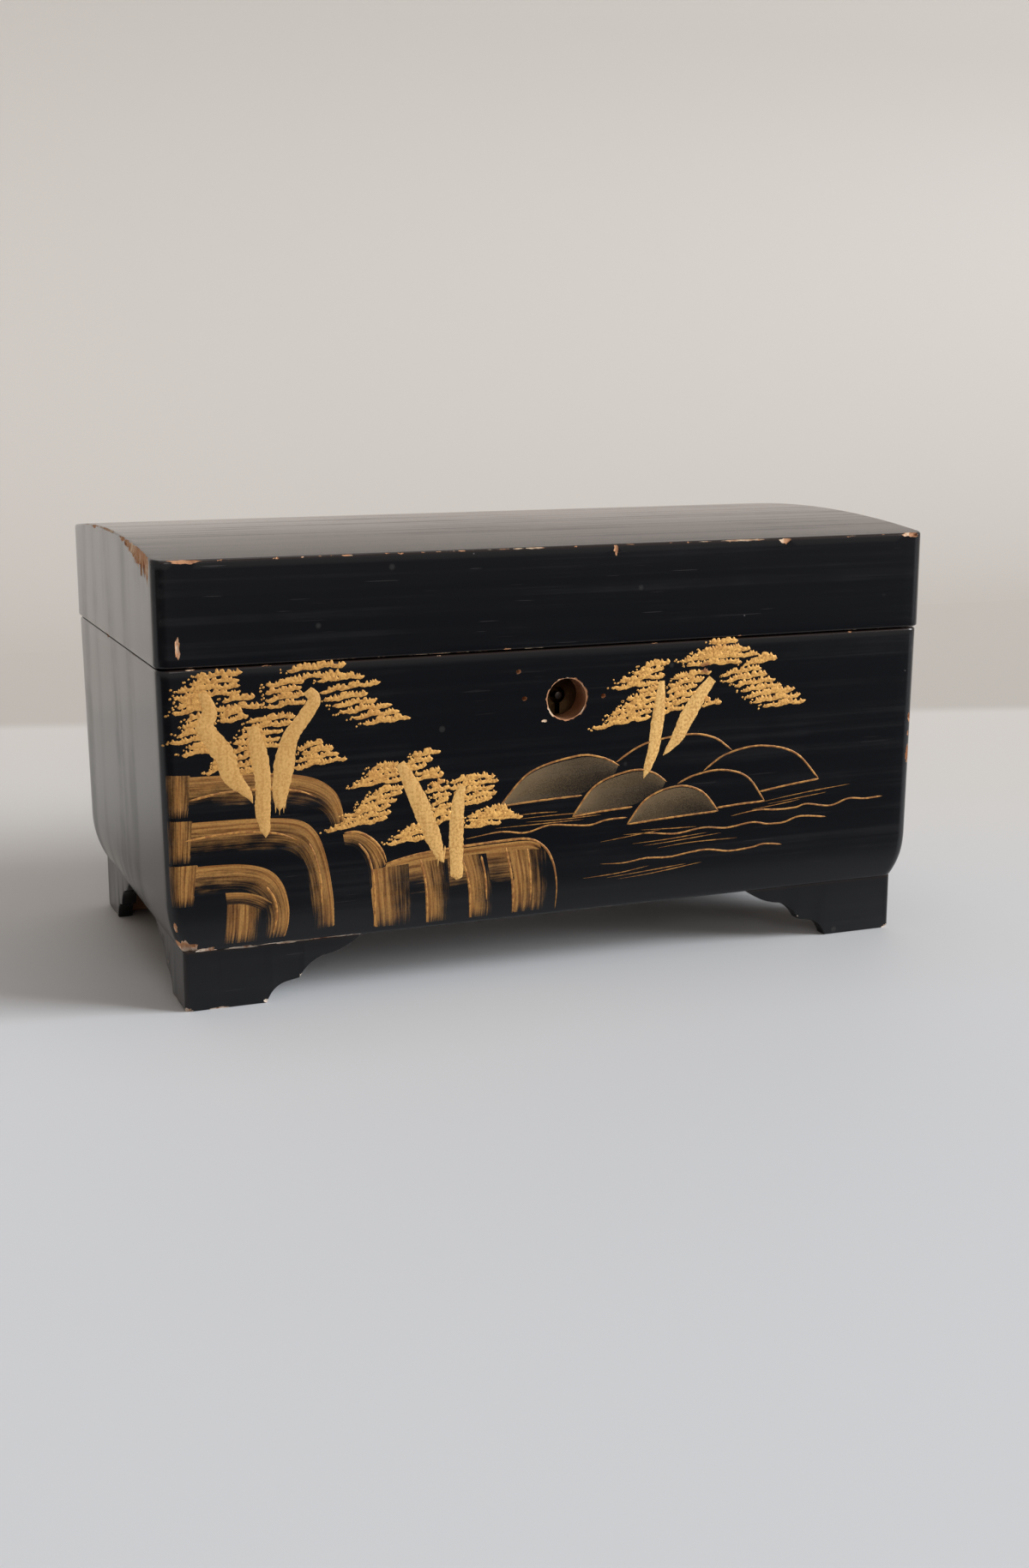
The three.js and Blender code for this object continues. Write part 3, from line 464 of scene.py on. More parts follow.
def chips(name, places, seed):
    """Chip cutters from rows of (x, y, z, half x, half y, half z) in millimetres."""
    return [chip_cutter(f"{name}_{n}", np.array(p[:3]) * MM, np.array(p[3:]) * MM, seed + n)
            for n, p in enumerate(places)]


bore_z = rim_z - 16.1 * MM
bore_radius = 6.5 * MM
front_y = -case_half[1]
lock_fit = 0.3
lock_low, lock_high = (np.array(c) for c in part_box("lock_cover"))
housing_low, housing_high = (np.array(c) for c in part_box("lock_housing"))
selvage_thickness = 1.2 * MM
lock_face_y = -59.6 * MM
leaf_reach = 10.3 * MM
leaf_sheet = 1.0 * MM
cutters = [
    round_cutter("bore", 0, bore_z, front_y - 5 * MM, lock_face_y + 1 * MM, bore_radius, columns=96, ragged=0.006,
                 material_index=2),
    round_cutter("bore_rim", 0, bore_z, front_y - 1 * MM, front_y + 0.3 * MM, bore_radius + 0.4 * MM, columns=96,
                 ragged=0.026),
    bar("mortise", (lock_low[0] - lock_fit * MM, lock_face_y, lock_low[2] - lock_fit * MM),
        (lock_high[0] + lock_fit * MM, -50 * MM, rim_z + 5 * MM), 2),
    bar("selvage_bed", (housing_low[0] - lock_fit * MM, housing_low[1] - lock_fit * MM, rim_z - selvage_thickness),
        (housing_high[0] + lock_fit * MM, -50 * MM, rim_z + 5 * MM), 2),
]
nail_radius, nail_depth = 0.75 * MM, 3 * MM
for nail_x, above_bore in ((-14.3, 1.0), (12.3, 0.2), (-16.3, 9.5)):
    cutters.append(round_cutter("nail_hole", nail_x * MM, bore_z + above_bore * MM, front_y - MM,
                                front_y + nail_depth, nail_radius, columns=14, ragged=0.08))
for side in ("left", "right"):
    leaf_low, leaf_high = (np.array(c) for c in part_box(f"hinge_{side}_case_leaf"))
    cutters.append(bar(f"hinge_bed_{side}", (leaf_low[0] - 0.3 * MM, case_half[1] + 0.4 * MM - leaf_reach,
                                             rim_z - leaf_sheet), (leaf_high[0] + 0.3 * MM, 80 * MM, 110 * MM), 2))
case_chips = [
    (-121.8, -64.9, 20.0, 4.0, 2.8, 3.4), (-116.5, -65.6, 19.0, 4.4, 1.1, 1.3), (-125.0, -66.2, 27.0, 0.8, 0.7, 1.8),
    (125.4, -66.9, 74.0, 0.9, 0.9, 1.6), (125.3, -66.9, 68.5, 0.5, 0.5, 0.9), (125.3, -66.8, 61.5, 1.1, 1.0, 3.2),
    (-118.0, -67.6, 104.2, 1.7, 0.5, 0.35), (-96.0, -67.5, 104.3, 2.6, 0.4, 0.3), (-42.0, -67.6, 104.3, 1.2, 0.4, 0.3),
    (30.0, -67.5, 104.3, 1.8, 0.4, 0.3), (101.0, -67.6, 104.2, 1.1, 0.5, 0.4), (-7.6, -67.7, 81.8, 0.9, 0.3, 0.5),
    (-105.0, -65.2, 18.8, 4.8, 0.7, 0.5), (-92.0, -65.2, 18.8, 7.4, 0.7, 0.55), (-78.0, -65.2, 18.8, 6.4, 0.7, 0.5),
    (-70.0, -65.2, 18.7, 2.4, 0.7, 0.5), (12.0, -64.9, 18.7, 5.2, 0.5, 0.35),
    (31.0, -64.9, 18.7, 2.2, 0.5, 0.3), (127.4, 40.0, 104.2, 0.6, 2.0, 0.5), (-127.4, 12.0, 104.2, 0.5, 1.4, 0.4),
    (-124.0, 63.6, 19.0, 1.3, 1.6, 1.5), (124.2, 64.0, 19.2, 1.8, 1.3, 1.2), (-60.0, 67.6, 104.2, 2.0, 0.5, 0.4),
    (127.0, 67.0, 60.0, 0.8, 0.8, 1.9), (-122.6, 20.0, 18.7, 0.6, 3.1, 0.4), (52.0, 64.9, 18.7, 3.4, 0.5, 0.4),
]
cut_away(case_shell, *cutters, *chips("case_chip", case_chips, 11))
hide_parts("case_front", "case_back", "case_left", "case_right")
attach(case_shell, "case")


# Bottom board
# One pine board let in between the walls, stained dark underneath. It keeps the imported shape.
underside, under_tree, under_shader = new_material("stained_underside", roughness=0.62)
under_place = object_place(under_tree)
under_grain = noise(under_tree, under_place, (7, 260, 260), detail=5, roughness=0.6)
under_cloud = noise(under_tree, under_place, (18, 18, 18), detail=4)
under_colour = blend_colour(under_tree, step_up(under_tree, under_grain, 0.4, 0.7), (0.012, 0.009, 0.008, 1),
                            (0.045, 0.028, 0.018, 1))
under_colour = blend_colour(under_tree, step_up(under_tree, under_cloud, 0.55, 0.75, 0, 0.5), under_colour,
                            (0.09, 0.06, 0.04, 1))
under_tree.links.new(under_colour, under_shader.inputs["Base Color"])
under_tree.links.new(bumped(under_tree, under_grain, 0.12 * MM), under_shader.inputs["Normal"])


def finish_node(name, material):
    """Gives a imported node's object its one material."""
    nodes[name].data.materials.clear()
    nodes[name].data.materials.append(material)


finish_node("case_bottom", underside)


# Feet
# Four bracket feet: two pine wings mitred at the corner and sawn in a double ogee, lacquered black, with a
# glue block behind the corner.
foot_low, foot_high = (np.array(c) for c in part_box("foot_front_left"))
foot_height = foot_high[2]
foot_corner = -foot_low[:2]
foot_wall = 5 * MM
foot_edge = 0.5 * MM
foot_corner_radius = 1.2 * MM
glue_block = 9 * MM
front_wing_reach, front_wing_floor = 55.5 * MM, 25 * MM
end_wing_reach, end_wing_floor = 42 * MM, 18.5 * MM


def wing_outline(reach, floor, steps=14):
    """Stations of a wing as distance from the outer edge and height of its lower edge: flat on the floor, then
    straights and quadratic curves that rise in two ogees to the case. Shares are of the reach past the floor."""
    beyond = reach - floor
    t = np.linspace(0, 1, steps)[:, None]

    def curve(start, control, end):
        return (1 - t) ** 2 * np.array(start) + 2 * t * (1 - t) * np.array(control) + t**2 * np.array(end)

    shares = np.vstack([
        np.linspace([0, 0.0], [0, 0.0], 1), curve((0, 0), (0.06, 0.27), (0.21, 0.32)),
        curve((0.21, 0.32), (0.28, 0.34), (0.34, 0.36)), curve((0.34, 0.36), (0.42, 0.6), (0.59, 0.7)),
        curve((0.59, 0.7), (0.82, 0.74), (1, 1)),
    ])
    flat = np.stack([np.linspace(foot_wall, floor, 8), np.zeros(8)], -1)
    return np.vstack([flat, shares * [beyond, foot_height] + [floor, 0]])


def wing(reach, floor, along_x):
    """One wing at the corner -X, -Y: at each station a ring of points round its section, eased at the lower edges.
    Its end at the corner is cut at 45 degrees."""
    far = wing_outline(reach, floor)
    near = np.stack([np.linspace(foot_corner_radius, foot_wall, 4)[:-1], np.zeros(3)], -1)
    stations = np.vstack([near, far])
    u, low = stations.T
    tall = np.maximum(foot_height - low, 1e-9)
    ease = np.minimum(foot_edge, tall / 2.01)
    ring = [(0, 1, 0), (0, 0, 1), (0.3, 0, 0.3), (1, 0, 0), (-1, 0, 0), (-0.3, 0, 0.3), (-0.0, 0, 1), (-0.0, 1, 0)]
    points = np.zeros((len(u), len(ring), 3))
    for column, (across, up, lift) in enumerate(ring):
        inner = column > 3
        depth = (foot_wall if inner else 0) + across * ease
        start = np.maximum(u, depth)
        points[:, column, 0] = -foot_corner[0] + (start if along_x else depth)
        points[:, column, 1] = -foot_corner[1] + (depth if along_x else start)
        points[:, column, 2] = np.where(up == 1, foot_height, low + lift * ease)
    return points


def corner_post():
    """The rounded outer corner between the wings: a quarter round from the floor up, with an eased lower edge."""
    turn = np.radians(np.linspace(270, 180, 7))
    rows = [(foot_edge, 0), (0.3 * foot_edge, 0.3 * foot_edge), (0, foot_edge), (0, foot_height)]
    centre = -foot_corner + foot_corner_radius
    points = [np.stack([centre[0] + (foot_corner_radius - d) * np.cos(turn),
                        centre[1] + (foot_corner_radius - d) * np.sin(turn), np.full(7, z)], -1) for d, z in rows]
    middle = np.tile([centre[0], centre[1]], (7, 1))
    points = [np.hstack([middle, np.zeros((7, 1))])] + points + [np.hstack([middle, np.full((7, 1), foot_height)])]
    return np.stack(points)


foot_lacquer = lacquered("foot_lacquer", foot_corner[0], foot_corner[1], -MM, foot_height, 0.22)
foot_chips = [
    (-121.6, -63.8, 0.4, 1.6, 1.2, 0.9), (-112.0, -64.2, 0.1, 3.2, 0.5, 0.5), (-97.4, -64.2, 0.6, 0.9, 0.4, 0.6),
    (-86.0, -64.2, 7.6, 0.8, 0.35, 0.5), (-104.0, -64.2, 18.6, 5.5, 0.4, 0.35), (-90.0, -64.2, 18.6, 3.5, 0.45, 0.4),
    (-122.3, -50.0, 0.2, 0.4, 2.4, 0.5), (-122.2, -40.0, 9.0, 0.3, 0.6, 0.6),
]
for end_name, end_side in (("left", 1), ("right", -1)):
    for face_name, face_side in (("front", 1), ("back", -1)):
        foot_name = f"foot_{face_name}_{end_name}"
        mirror_signs = np.array([end_side, face_side, 1])
        wings = [wing(front_wing_reach, front_wing_floor, True), wing(end_wing_reach, end_wing_floor, False)]
        shell = grid_mesh(f"{foot_name}_wings", [points * mirror_signs for points in wings])
        block_low = -foot_corner + foot_wall
        post_mesh = bar("glue_block", (*block_low, 0.8 * MM), (*(block_low + glue_block), foot_height), 1)
        foot = bmesh.new()
        for mesh in (shell, post_mesh):
            if mesh is post_mesh:
                corners = np.array([v.co for v in mesh.vertices]) * mirror_signs
                mesh.vertices.foreach_set("co", corners.ravel())
            foot.from_mesh(mesh)
        open_post = grid_mesh("post", [corner_post() * mirror_signs], wrap_columns=False)
        foot.from_mesh(open_post)
        bmesh.ops.remove_doubles(foot, verts=foot.verts, dist=2e-6)
        bmesh.ops.holes_fill(foot, edges=foot.edges, sides=0)
        foot_mesh = bpy.data.meshes.new(f"{foot_name}_bracket")
        foot.to_mesh(foot_mesh)
        foot.free()
        piece = as_object(clean_mesh(foot_mesh), foot_lacquer, pine, chipped_wood)
        spread = 1 if (end_name, face_name) == ("left", "front") else 0
        for chip in chips(f"{foot_name}_chip", [p for n, p in enumerate(foot_chips) if spread or n % 3 == 0],
                          40 + 7 * end_side + 3 * face_side):
            corners = np.array([v.co for v in chip.vertices]) * mirror_signs
            chip.vertices.foreach_set("co", corners.ravel())
            as_cutter(clean_mesh(chip), 2)
            cut_away(piece, chip, overlapping=True)
        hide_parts(foot_name)
        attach(piece, "case")


# Painted landscape
# Gold powder and gold lacquer over the black, a little proud of it: pines of short ragged dabs with broad
# trunks, rocks washed in with a wide brush that fades inwards, round hills, and thin lines of water.
gold_sunk = 0.03 * MM


def on_front(x, z, proud):
    """Points on the case's front at x and z in millimetres, a little proud of the lacquer. They follow its sweep and
    go round its corners: past the straight part, the share of the corner radius is the sine of the turn."""
    x, z = np.asarray(x) * MM, np.asarray(z) * MM
    straight = case_half[0] - sweep(z, end_lean, end_sweep_height, end_sweep_radius) - corner_radius
    over = np.clip((np.abs(x) - straight) / corner_radius, 0, 0.95)
    reach = corner_radius + proud
    y = front_y + sweep(z, 0, front_sweep_height, front_sweep_radius) + corner_radius - np.sqrt(1 - over**2) * reach
    x = np.sign(x) * (np.minimum(np.abs(x), straight) + over * reach)
    return np.stack(np.broadcast_arrays(x, y, z), -1)


def smooth_path(points, step=0.5):
    """A path through given points as a Catmull-Rom curve, with a point about every step, in millimetres."""
    p = np.array(points, float)
    p = np.vstack([2 * p[0] - p[1], p, 2 * p[-1] - p[-2]])
    spans = []
    for a, b, c, d in zip(p, p[1:], p[2:], p[3:]):
        t = np.linspace(0, 1, max(2, int(np.ceil(np.hypot(*(c - b)) / step))), endpoint=False)[:, None]
        spans.append(b + 0.5 * (c - a) * t + (a - 2.5 * b + 2 * c - 0.5 * d) * t**2
                     + (1.5 * (b - c) + 0.5 * (d - a)) * t**3)
    return np.vstack([*spans, p[-2:-1]])


def even_path(points, count):
    """The smooth path with its points at even spacing along its length."""
    path = smooth_path(points, 0.3)
    run = np.concatenate([[0], np.cumsum(np.hypot(*np.diff(path, axis=0).T))])
    at = np.linspace(0, run[-1], count)
    return np.stack([np.interp(at, run, path[:, 0]), np.interp(at, run, path[:, 1])], -1)


def stroke(path, half_width, proud, ragged=0.0, seed=0, grain=1.0, combed=False):
    """A raised brush stroke: at each point of the path a low section of four points, edge, shoulder, shoulder and
    edge. Each edge swings by the ragged share along straight lines between random knots, a coarse set a grain apart
    and a fine set a third of that apart. A combed stroke has teeth on its upper edge, closest in its middle."""
    heading = np.gradient(path, axis=0)
    heading /= np.linalg.norm(heading, axis=1, keepdims=True)
    side = np.stack([-heading[:, 1], heading[:, 0]], -1)
    run = np.concatenate([[0], np.cumsum(np.hypot(*np.diff(path, axis=0).T))])
    random = np.random.default_rng(seed)
    swing = np.ones((2, len(path)))
    for share, gap in ((0.75, grain), (0.45, grain / 3)):
        knots = np.arange(0, run[-1] + 2 * gap, gap)
        for edge in swing:
            edge += ragged * share * np.interp(run, knots, random.uniform(-1, 1, len(knots)))
    if combed:
        knots = np.arange(0, run[-1] + 0.8, 0.4)
        middle = 1 - np.abs(2 * knots / run[-1] - 1).clip(0, 1)
        tooth = random.uniform(0, 1, len(knots)) < 0.26 + 0.6 * middle**1.6
        swing[0] += np.interp(run, knots, np.where(tooth, 0.62, -0.42))
    swing = np.maximum(swing, 0.05)
    half_width = np.broadcast_to(half_width, len(path))
    upper = path + side * (half_width * swing[0])[:, None]
    lower = path - side * (half_width * swing[1])[:, None]
    share = np.array([0, 0.15, 0.85, 1])[None, :, None]
    flat = upper[:, None] * (1 - share) + lower[:, None] * share
    lift = np.array([-gold_sunk, proud, proud, -gold_sunk])
    brush = np.stack(np.broadcast_arrays(run[:, None], share[..., 0], seed % 17), -1)
    return on_front(flat[..., 0], flat[..., 1], lift), brush


def tapered(count, width, start=0.12, end=0.12):
    """A half width that rises from nothing over the start share of the path and falls again over the end share."""
    at = np.linspace(0, 1, count)
    rise = np.clip(at / max(start, 1e-6), 0, 1) ** 0.6
    fall = np.clip((1 - at) / max(end, 1e-6), 0, 1) ** 0.6
    return width * np.minimum(rise, fall)


def painted(name, strokes, material, merge=1e-6):
    """One painted piece on the front from a list of strokes."""
    grids, brush = zip(*strokes)
    mesh = clean_mesh(grid_mesh(name, list(grids), brush=list(brush)), merge, 60)
    piece = as_object(mesh, material)
    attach(piece, "case")
    return piece


# Each clump of needles by the two ends of its lowest and of its highest row of dabs, x and z in millimetres.
needle_pitch = 2.05
needle_half_width = 0.86
clumps = [
    # left pine
    ((-124, 96.2), (-104, 96.8), (-117, 101.9), (-102, 102.6)),
    ((-124.5, 91.6), (-113, 93.0), (-122, 95.2), (-112, 96.2)),
    ((-112, 91.8), (-97, 92.6), (-108, 94.6), (-99, 95.3)),
    ((-124, 83.0), (-112, 84.2), (-119, 89.6), (-114, 90.7)),
    ((-111, 88.2), (-101, 89.6), (-110, 90.2), (-102, 91.4)),
    ((-121.5, 79.4), (-110, 80.3), (-119, 81.2), (-112, 82.2)),
    ((-114, 73.6), (-108, 75.2), (-112, 75.8), (-110, 77.0)),
    # middle pine of the group
    ((-108, 79.3), (-92, 80.4), (-101, 88.0), (-88, 88.9)),
    ((-105, 72.4), (-99, 73.8), (-106, 77.2), (-99, 78.2)),
    # leaning pine
    ((-92, 99.4), (-70, 100.4), (-89, 102.3), (-72, 103.2)),
    ((-80, 95.2), (-60, 97.2), (-81, 98.6), (-66, 99.4)),
    ((-97, 91.6), (-84, 93.0), (-96, 98.2), (-84, 99.2)),
    ((-67, 84.9), (-52, 85.8), (-79, 92.6), (-64, 94.2)),
    ((-88, 73.0), (-72, 74.8), (-86, 78.9), (-78, 80.4)),
    # pines of the middle rock
    ((-56, 69.2), (-46, 70.8), (-52, 73.8), (-41.5, 74.9)),
    ((-70, 65.8), (-54, 67.0), (-63, 71.0), (-55, 72.2)),
    ((-78, 52.8), (-60, 55.2), (-63.5, 63.2), (-53, 64.9)),
    ((-44.5, 52.4), (-38, 53.8), (-46, 64.2), (-40, 65.6)),
    ((-52, 66.2), (-41, 67.6), (-50, 68.0), (-43, 68.8)),
    ((-34.5, 57.4), (-25, 58.8), (-40, 64.8), (-23, 66.0)),
    ((-35, 50.0), (-21, 51.0), (-27, 55.0), (-20, 55.8)),
    ((-34, 52.0), (-14.5, 52.2), (-34, 53.6), (-17, 54.0)),
    ((-59, 47.2), (-46, 48.2), (-54, 50.8), (-47, 52.2)),
    # right pine
    ((42, 96.4), (62, 96.6), (49, 102.9), (60, 103.4)),
    ((39, 98.0), (68, 98.8), (43, 99.8), (64, 100.4)),
    ((62, 95.6), (73.5, 97.0), (66, 97.2), (72, 97.8)),
    ((15, 90.6), (33, 91.4), (26, 96.8), (35, 98.0)),
    ((9.5, 78.2), (29, 80.6), (24, 88.8), (33, 90.2)),
    ((33, 81.6), (40, 83.2), (36, 92.4), (50, 94.2)),
    ((68, 81.2), (86, 82.4), (54, 92.6), (68, 94.2)),
    ((46, 83.0), (53, 84.0), (48, 84.6), (51, 85.2)),
]
needle_strokes = []
dab_random = np.random.default_rng(5)
for clump_number, (low_left, low_right, high_left, high_right) in enumerate(clumps):
    low_row, high_row = np.array([low_left, low_right]), np.array([high_left, high_right])
    rows = max(2, 1 + int(round(np.linalg.norm((high_row - low_row).mean(0) * [0.15, 1]) / needle_pitch)))
    for row in range(rows):
        ends = low_row + (high_row - low_row) * row / (rows - 1)
        ends = ends + dab_random.uniform(-1.1, 1.1, (2, 1)) * [1, 0.1]
        reach = ends[1] - ends[0]
        bow = ends.mean(0) + [0, 0.02 * reach[0]]
        row_path = even_path([ends[0], bow, ends[1]], max(8, int(np.hypot(*reach) / 0.27)))
        row_path[:, 1] += 0.22 * np.sin(row_path[:, 0] * 0.9 + 2.1 * row)
        row_width = tapered(len(row_path), needle_half_width, 0.10, 0.08)
        proud = (0.050 + 0.012 * (row % 3) + 0.003 * (clump_number % 3)) * MM
        needle_strokes.append(stroke(row_path, row_width, proud, 0.28, 100 * clump_number + row, 0.9, True))
        for dab in range(3):
            dab_x = ends[0][0] - dab_random.uniform(0.3, 2.2)
            dab_z = ends[0][1] + dab_random.uniform(-0.9, 0.6)
            dab_path = even_path([(dab_x, dab_z), (dab_x + dab_random.uniform(0.5, 1.0), dab_z + 0.2)], 5)
            needle_strokes.append(stroke(dab_path, tapered(5, 0.34, 0.3, 0.3), proud, 0.2, dab))

gold_leaf, leaf_tree, leaf_shader = new_material("gold_powder", metallic=0.25, roughness=0.5)
leaf_place = object_place(leaf_tree)
leaf_grain = noise(leaf_tree, leaf_place, (1500, 1500, 1500), detail=3, roughness=0.7)
leaf_cloud = noise(leaf_tree, leaf_place, (90, 90, 130), detail=3)
leaf_colour = blend_colour(leaf_tree, step_up(leaf_tree, leaf_grain, 0.36, 0.58), (0.46, 0.21, 0.045, 1),
                           (0.90, 0.50, 0.135, 1))
leaf_colour = blend_colour(leaf_tree, step_up(leaf_tree, leaf_cloud, 0.50, 0.72, 0, 0.45), leaf_colour,
                           (0.66, 0.30, 0.07, 1))
# Painted shade: the gold is darkened towards -X, where the light from the right falls off to the left.
leaf_shade_x = add(leaf_tree, "ShaderNodeSeparateXYZ", {0: leaf_place}).outputs["X"]
leaf_colour = blend_colour(leaf_tree, step_up(leaf_tree, leaf_shade_x, -20 * MM, -112 * MM, 0, 0.42), leaf_colour,
                           (0.42, 0.19, 0.045, 1))
spot_place = add(leaf_tree, "ShaderNodeVectorMath", {0: leaf_place, 1: (48.0 * MM, front_y, 95.4 * MM)},
                 operation="DISTANCE").outputs["Value"]
spot = step_up(leaf_tree, calc(leaf_tree, "ADD", spot_place, calc(leaf_tree, "MULTIPLY", leaf_cloud, 0.003)),
               3.9 * MM, 2.2 * MM)
leaf_colour = blend_colour(leaf_tree, calc(leaf_tree, "MULTIPLY", spot, 0.8), leaf_colour, (0.16, 0.03, 0.012, 1))
leaf_tree.links.new(leaf_colour, leaf_shader.inputs["Base Color"])
leaf_tree.links.new(bumped(leaf_tree, leaf_grain, 0.04 * MM), leaf_shader.inputs["Normal"])
painted("gold_needles", needle_strokes, gold_leaf)

# Trunks: points from the crown down, each with the half width of the brush there.
trunks = [
    [(-114.8, 97.4, 1.6), (-112.8, 91.5, 2.4), (-114.2, 86.6, 3.1), (-109.0, 78.4, 3.5), (-106.8, 72.0, 3.3),
     (-102.2, 66.4, 1.5), (-100.8, 63.4, 0.1)],
    [(-100.2, 86.4, 2.0), (-98.8, 79.0, 3.0), (-97.6, 70.0, 2.7), (-97.8, 61.0, 2.6), (-97.2, 54.6, 1.7),
     (-97.2, 52.6, 0.1)],
    [(-83.4, 96.2, 1.6), (-81.4, 93.0, 2.2), (-84.6, 88.0, 2.3), (-88.9, 82.2, 2.6), (-91.0, 74.0, 3.5),
     (-92.3, 66.6, 2.9), (-92.6, 62.4, 1.9), (-92.8, 60.6, 0.2)],
    [(-55.0, 72.0, 1.6), (-51.4, 65.0, 2.6), (-48.0, 57.0, 3.2), (-44.6, 48.0, 2.8), (-42.2, 41.4, 1.6),
     (-41.2, 39.6, 0.1)],
    [(-35.0, 63.4, 1.4), (-36.4, 57.0, 2.4), (-37.0, 48.0, 2.5), (-36.9, 38.0, 2.5), (-37.0, 34.6, 2.2),
     (-37.2, 33.8, 0.3)],
    [(32.6, 92.0, 1.0), (32.2, 86.0, 2.0), (31.2, 78.0, 2.4), (30.0, 70.0, 2.1), (27.8, 63.6, 1.4), (26.6, 60.8, 0.1)],
    [(50.6, 91.6, 1.6), (46.6, 86.8, 2.4), (42.2, 80.4, 2.9), (38.6, 73.6, 2.3), (35.0, 69.4, 1.0), (33.4, 67.8, 0.1)],
]
trunk_strokes = []
for number, trunk in enumerate(trunks):
    trunk = np.array(trunk)
    count = int(np.hypot(*np.diff(trunk[:, :2], axis=0).T).sum() / 0.4)
    path = even_path(trunk[:, :2], count)
    run = np.concatenate([[0], np.cumsum(np.hypot(*np.diff(trunk[:, :2], axis=0).T))])
    width = np.interp(np.linspace(0, run[-1], count), run, trunk[:, 2])
    trunk_strokes.append(stroke(path, width, (0.10 + 0.004 * number) * MM, 0.07, 900 + number))
for x, z in ((-93.9, 62.4), (-92.7, 61.6), (-91.4, 62.2), (-90.9, 63.4), (-43.0, 41.0), (-41.0, 42.0)):
    hair = even_path([(x + 0.3, z + 3.0), (x, z), (x - 0.1, z - 2.6)], 16)
    trunk_strokes.append(stroke(hair, tapered(16, 0.34, 0.2, 0.6), 0.09 * MM, 0.2, int(10 * z)))

gold_wood, gold_wood_tree, gold_wood_shader = new_material("gold_trunks", metallic=0.2, roughness=0.5)
gold_wood_place = object_place(gold_wood_tree)
gold_hairs = noise(gold_wood_tree, gold_wood_place, (700, 1, 90), detail=4, roughness=0.6)
gold_dust_grain = noise(gold_wood_tree, gold_wood_place, (1300, 1300, 1300), detail=2)
gold_wood_share = calc(gold_wood_tree, "ADD", calc(gold_wood_tree, "MULTIPLY", gold_hairs, 0.4),
                       calc(gold_wood_tree, "MULTIPLY", gold_dust_grain, 0.6))
gold_wood_colour = blend_colour(gold_wood_tree, step_up(gold_wood_tree, gold_wood_share, 0.36, 0.6),
                                (0.60, 0.31, 0.08, 1), (0.93, 0.58, 0.20, 1))
# Painted shade: the trunks are darkened towards -X, where the light from the right falls off to the left.
trunk_shade_x = add(gold_wood_tree, "ShaderNodeSeparateXYZ", {0: gold_wood_place}).outputs["X"]
gold_wood_colour = blend_colour(gold_wood_tree, step_up(gold_wood_tree, trunk_shade_x, 0.0, -90 * MM, 0, 0.5),
                                gold_wood_colour, (0.52, 0.265, 0.07, 1))
gold_wood_tree.links.new(gold_wood_colour, gold_wood_shader.inputs["Base Color"])
gold_wood_tree.links.new(bumped(gold_wood_tree, gold_wood_share, 0.04 * MM), gold_wood_shader.inputs["Normal"])
painted("gold_trunks", trunk_strokes, gold_wood)


def wash(outer, inner, proud, seed, steps=60, soft=False, across=14):
    """A washed area between an outer and an inner line, closed by the same rows sunk under the lacquer. The
    brush values are the run along it, the share across from the outer edge, and the distance to the foot of the
    stroke. A soft wash has minus its own strength for its share, which grows from nothing at its outer edge to its
    middle and thins a little to its inner edge."""
    outer, inner = even_path(outer, steps), even_path(inner, steps)
    share = np.linspace(0, 1, across)[None, :, None]
    top = outer[:, None] * (1 - share) + inner[:, None] * share
    lift = np.full((steps, across), proud)
    lift[0], lift[-1], lift[:, 0], lift[:, -1] = (-gold_sunk,) * 4
    flat = np.concatenate([top, top[:, ::-1]], 1)
    lift = np.concatenate([lift, np.full((steps, across), -gold_sunk)], 1)
    run = np.concatenate([[0], np.cumsum(np.hypot(*np.diff(outer, axis=0).T))])
    shares = np.concatenate([share[0, :, 0], share[0, ::-1, 0]])
    left = run[-1] - run
    if soft:
        shares = np.interp(shares, [0, 0.45, 1], [0, -1, -0.55])
    brush = np.stack(np.broadcast_arrays(run[:, None] + 137 * seed, shares[None, :], left[:, None]), -1)
    return on_front(flat[..., 0], flat[..., 1], lift), brush


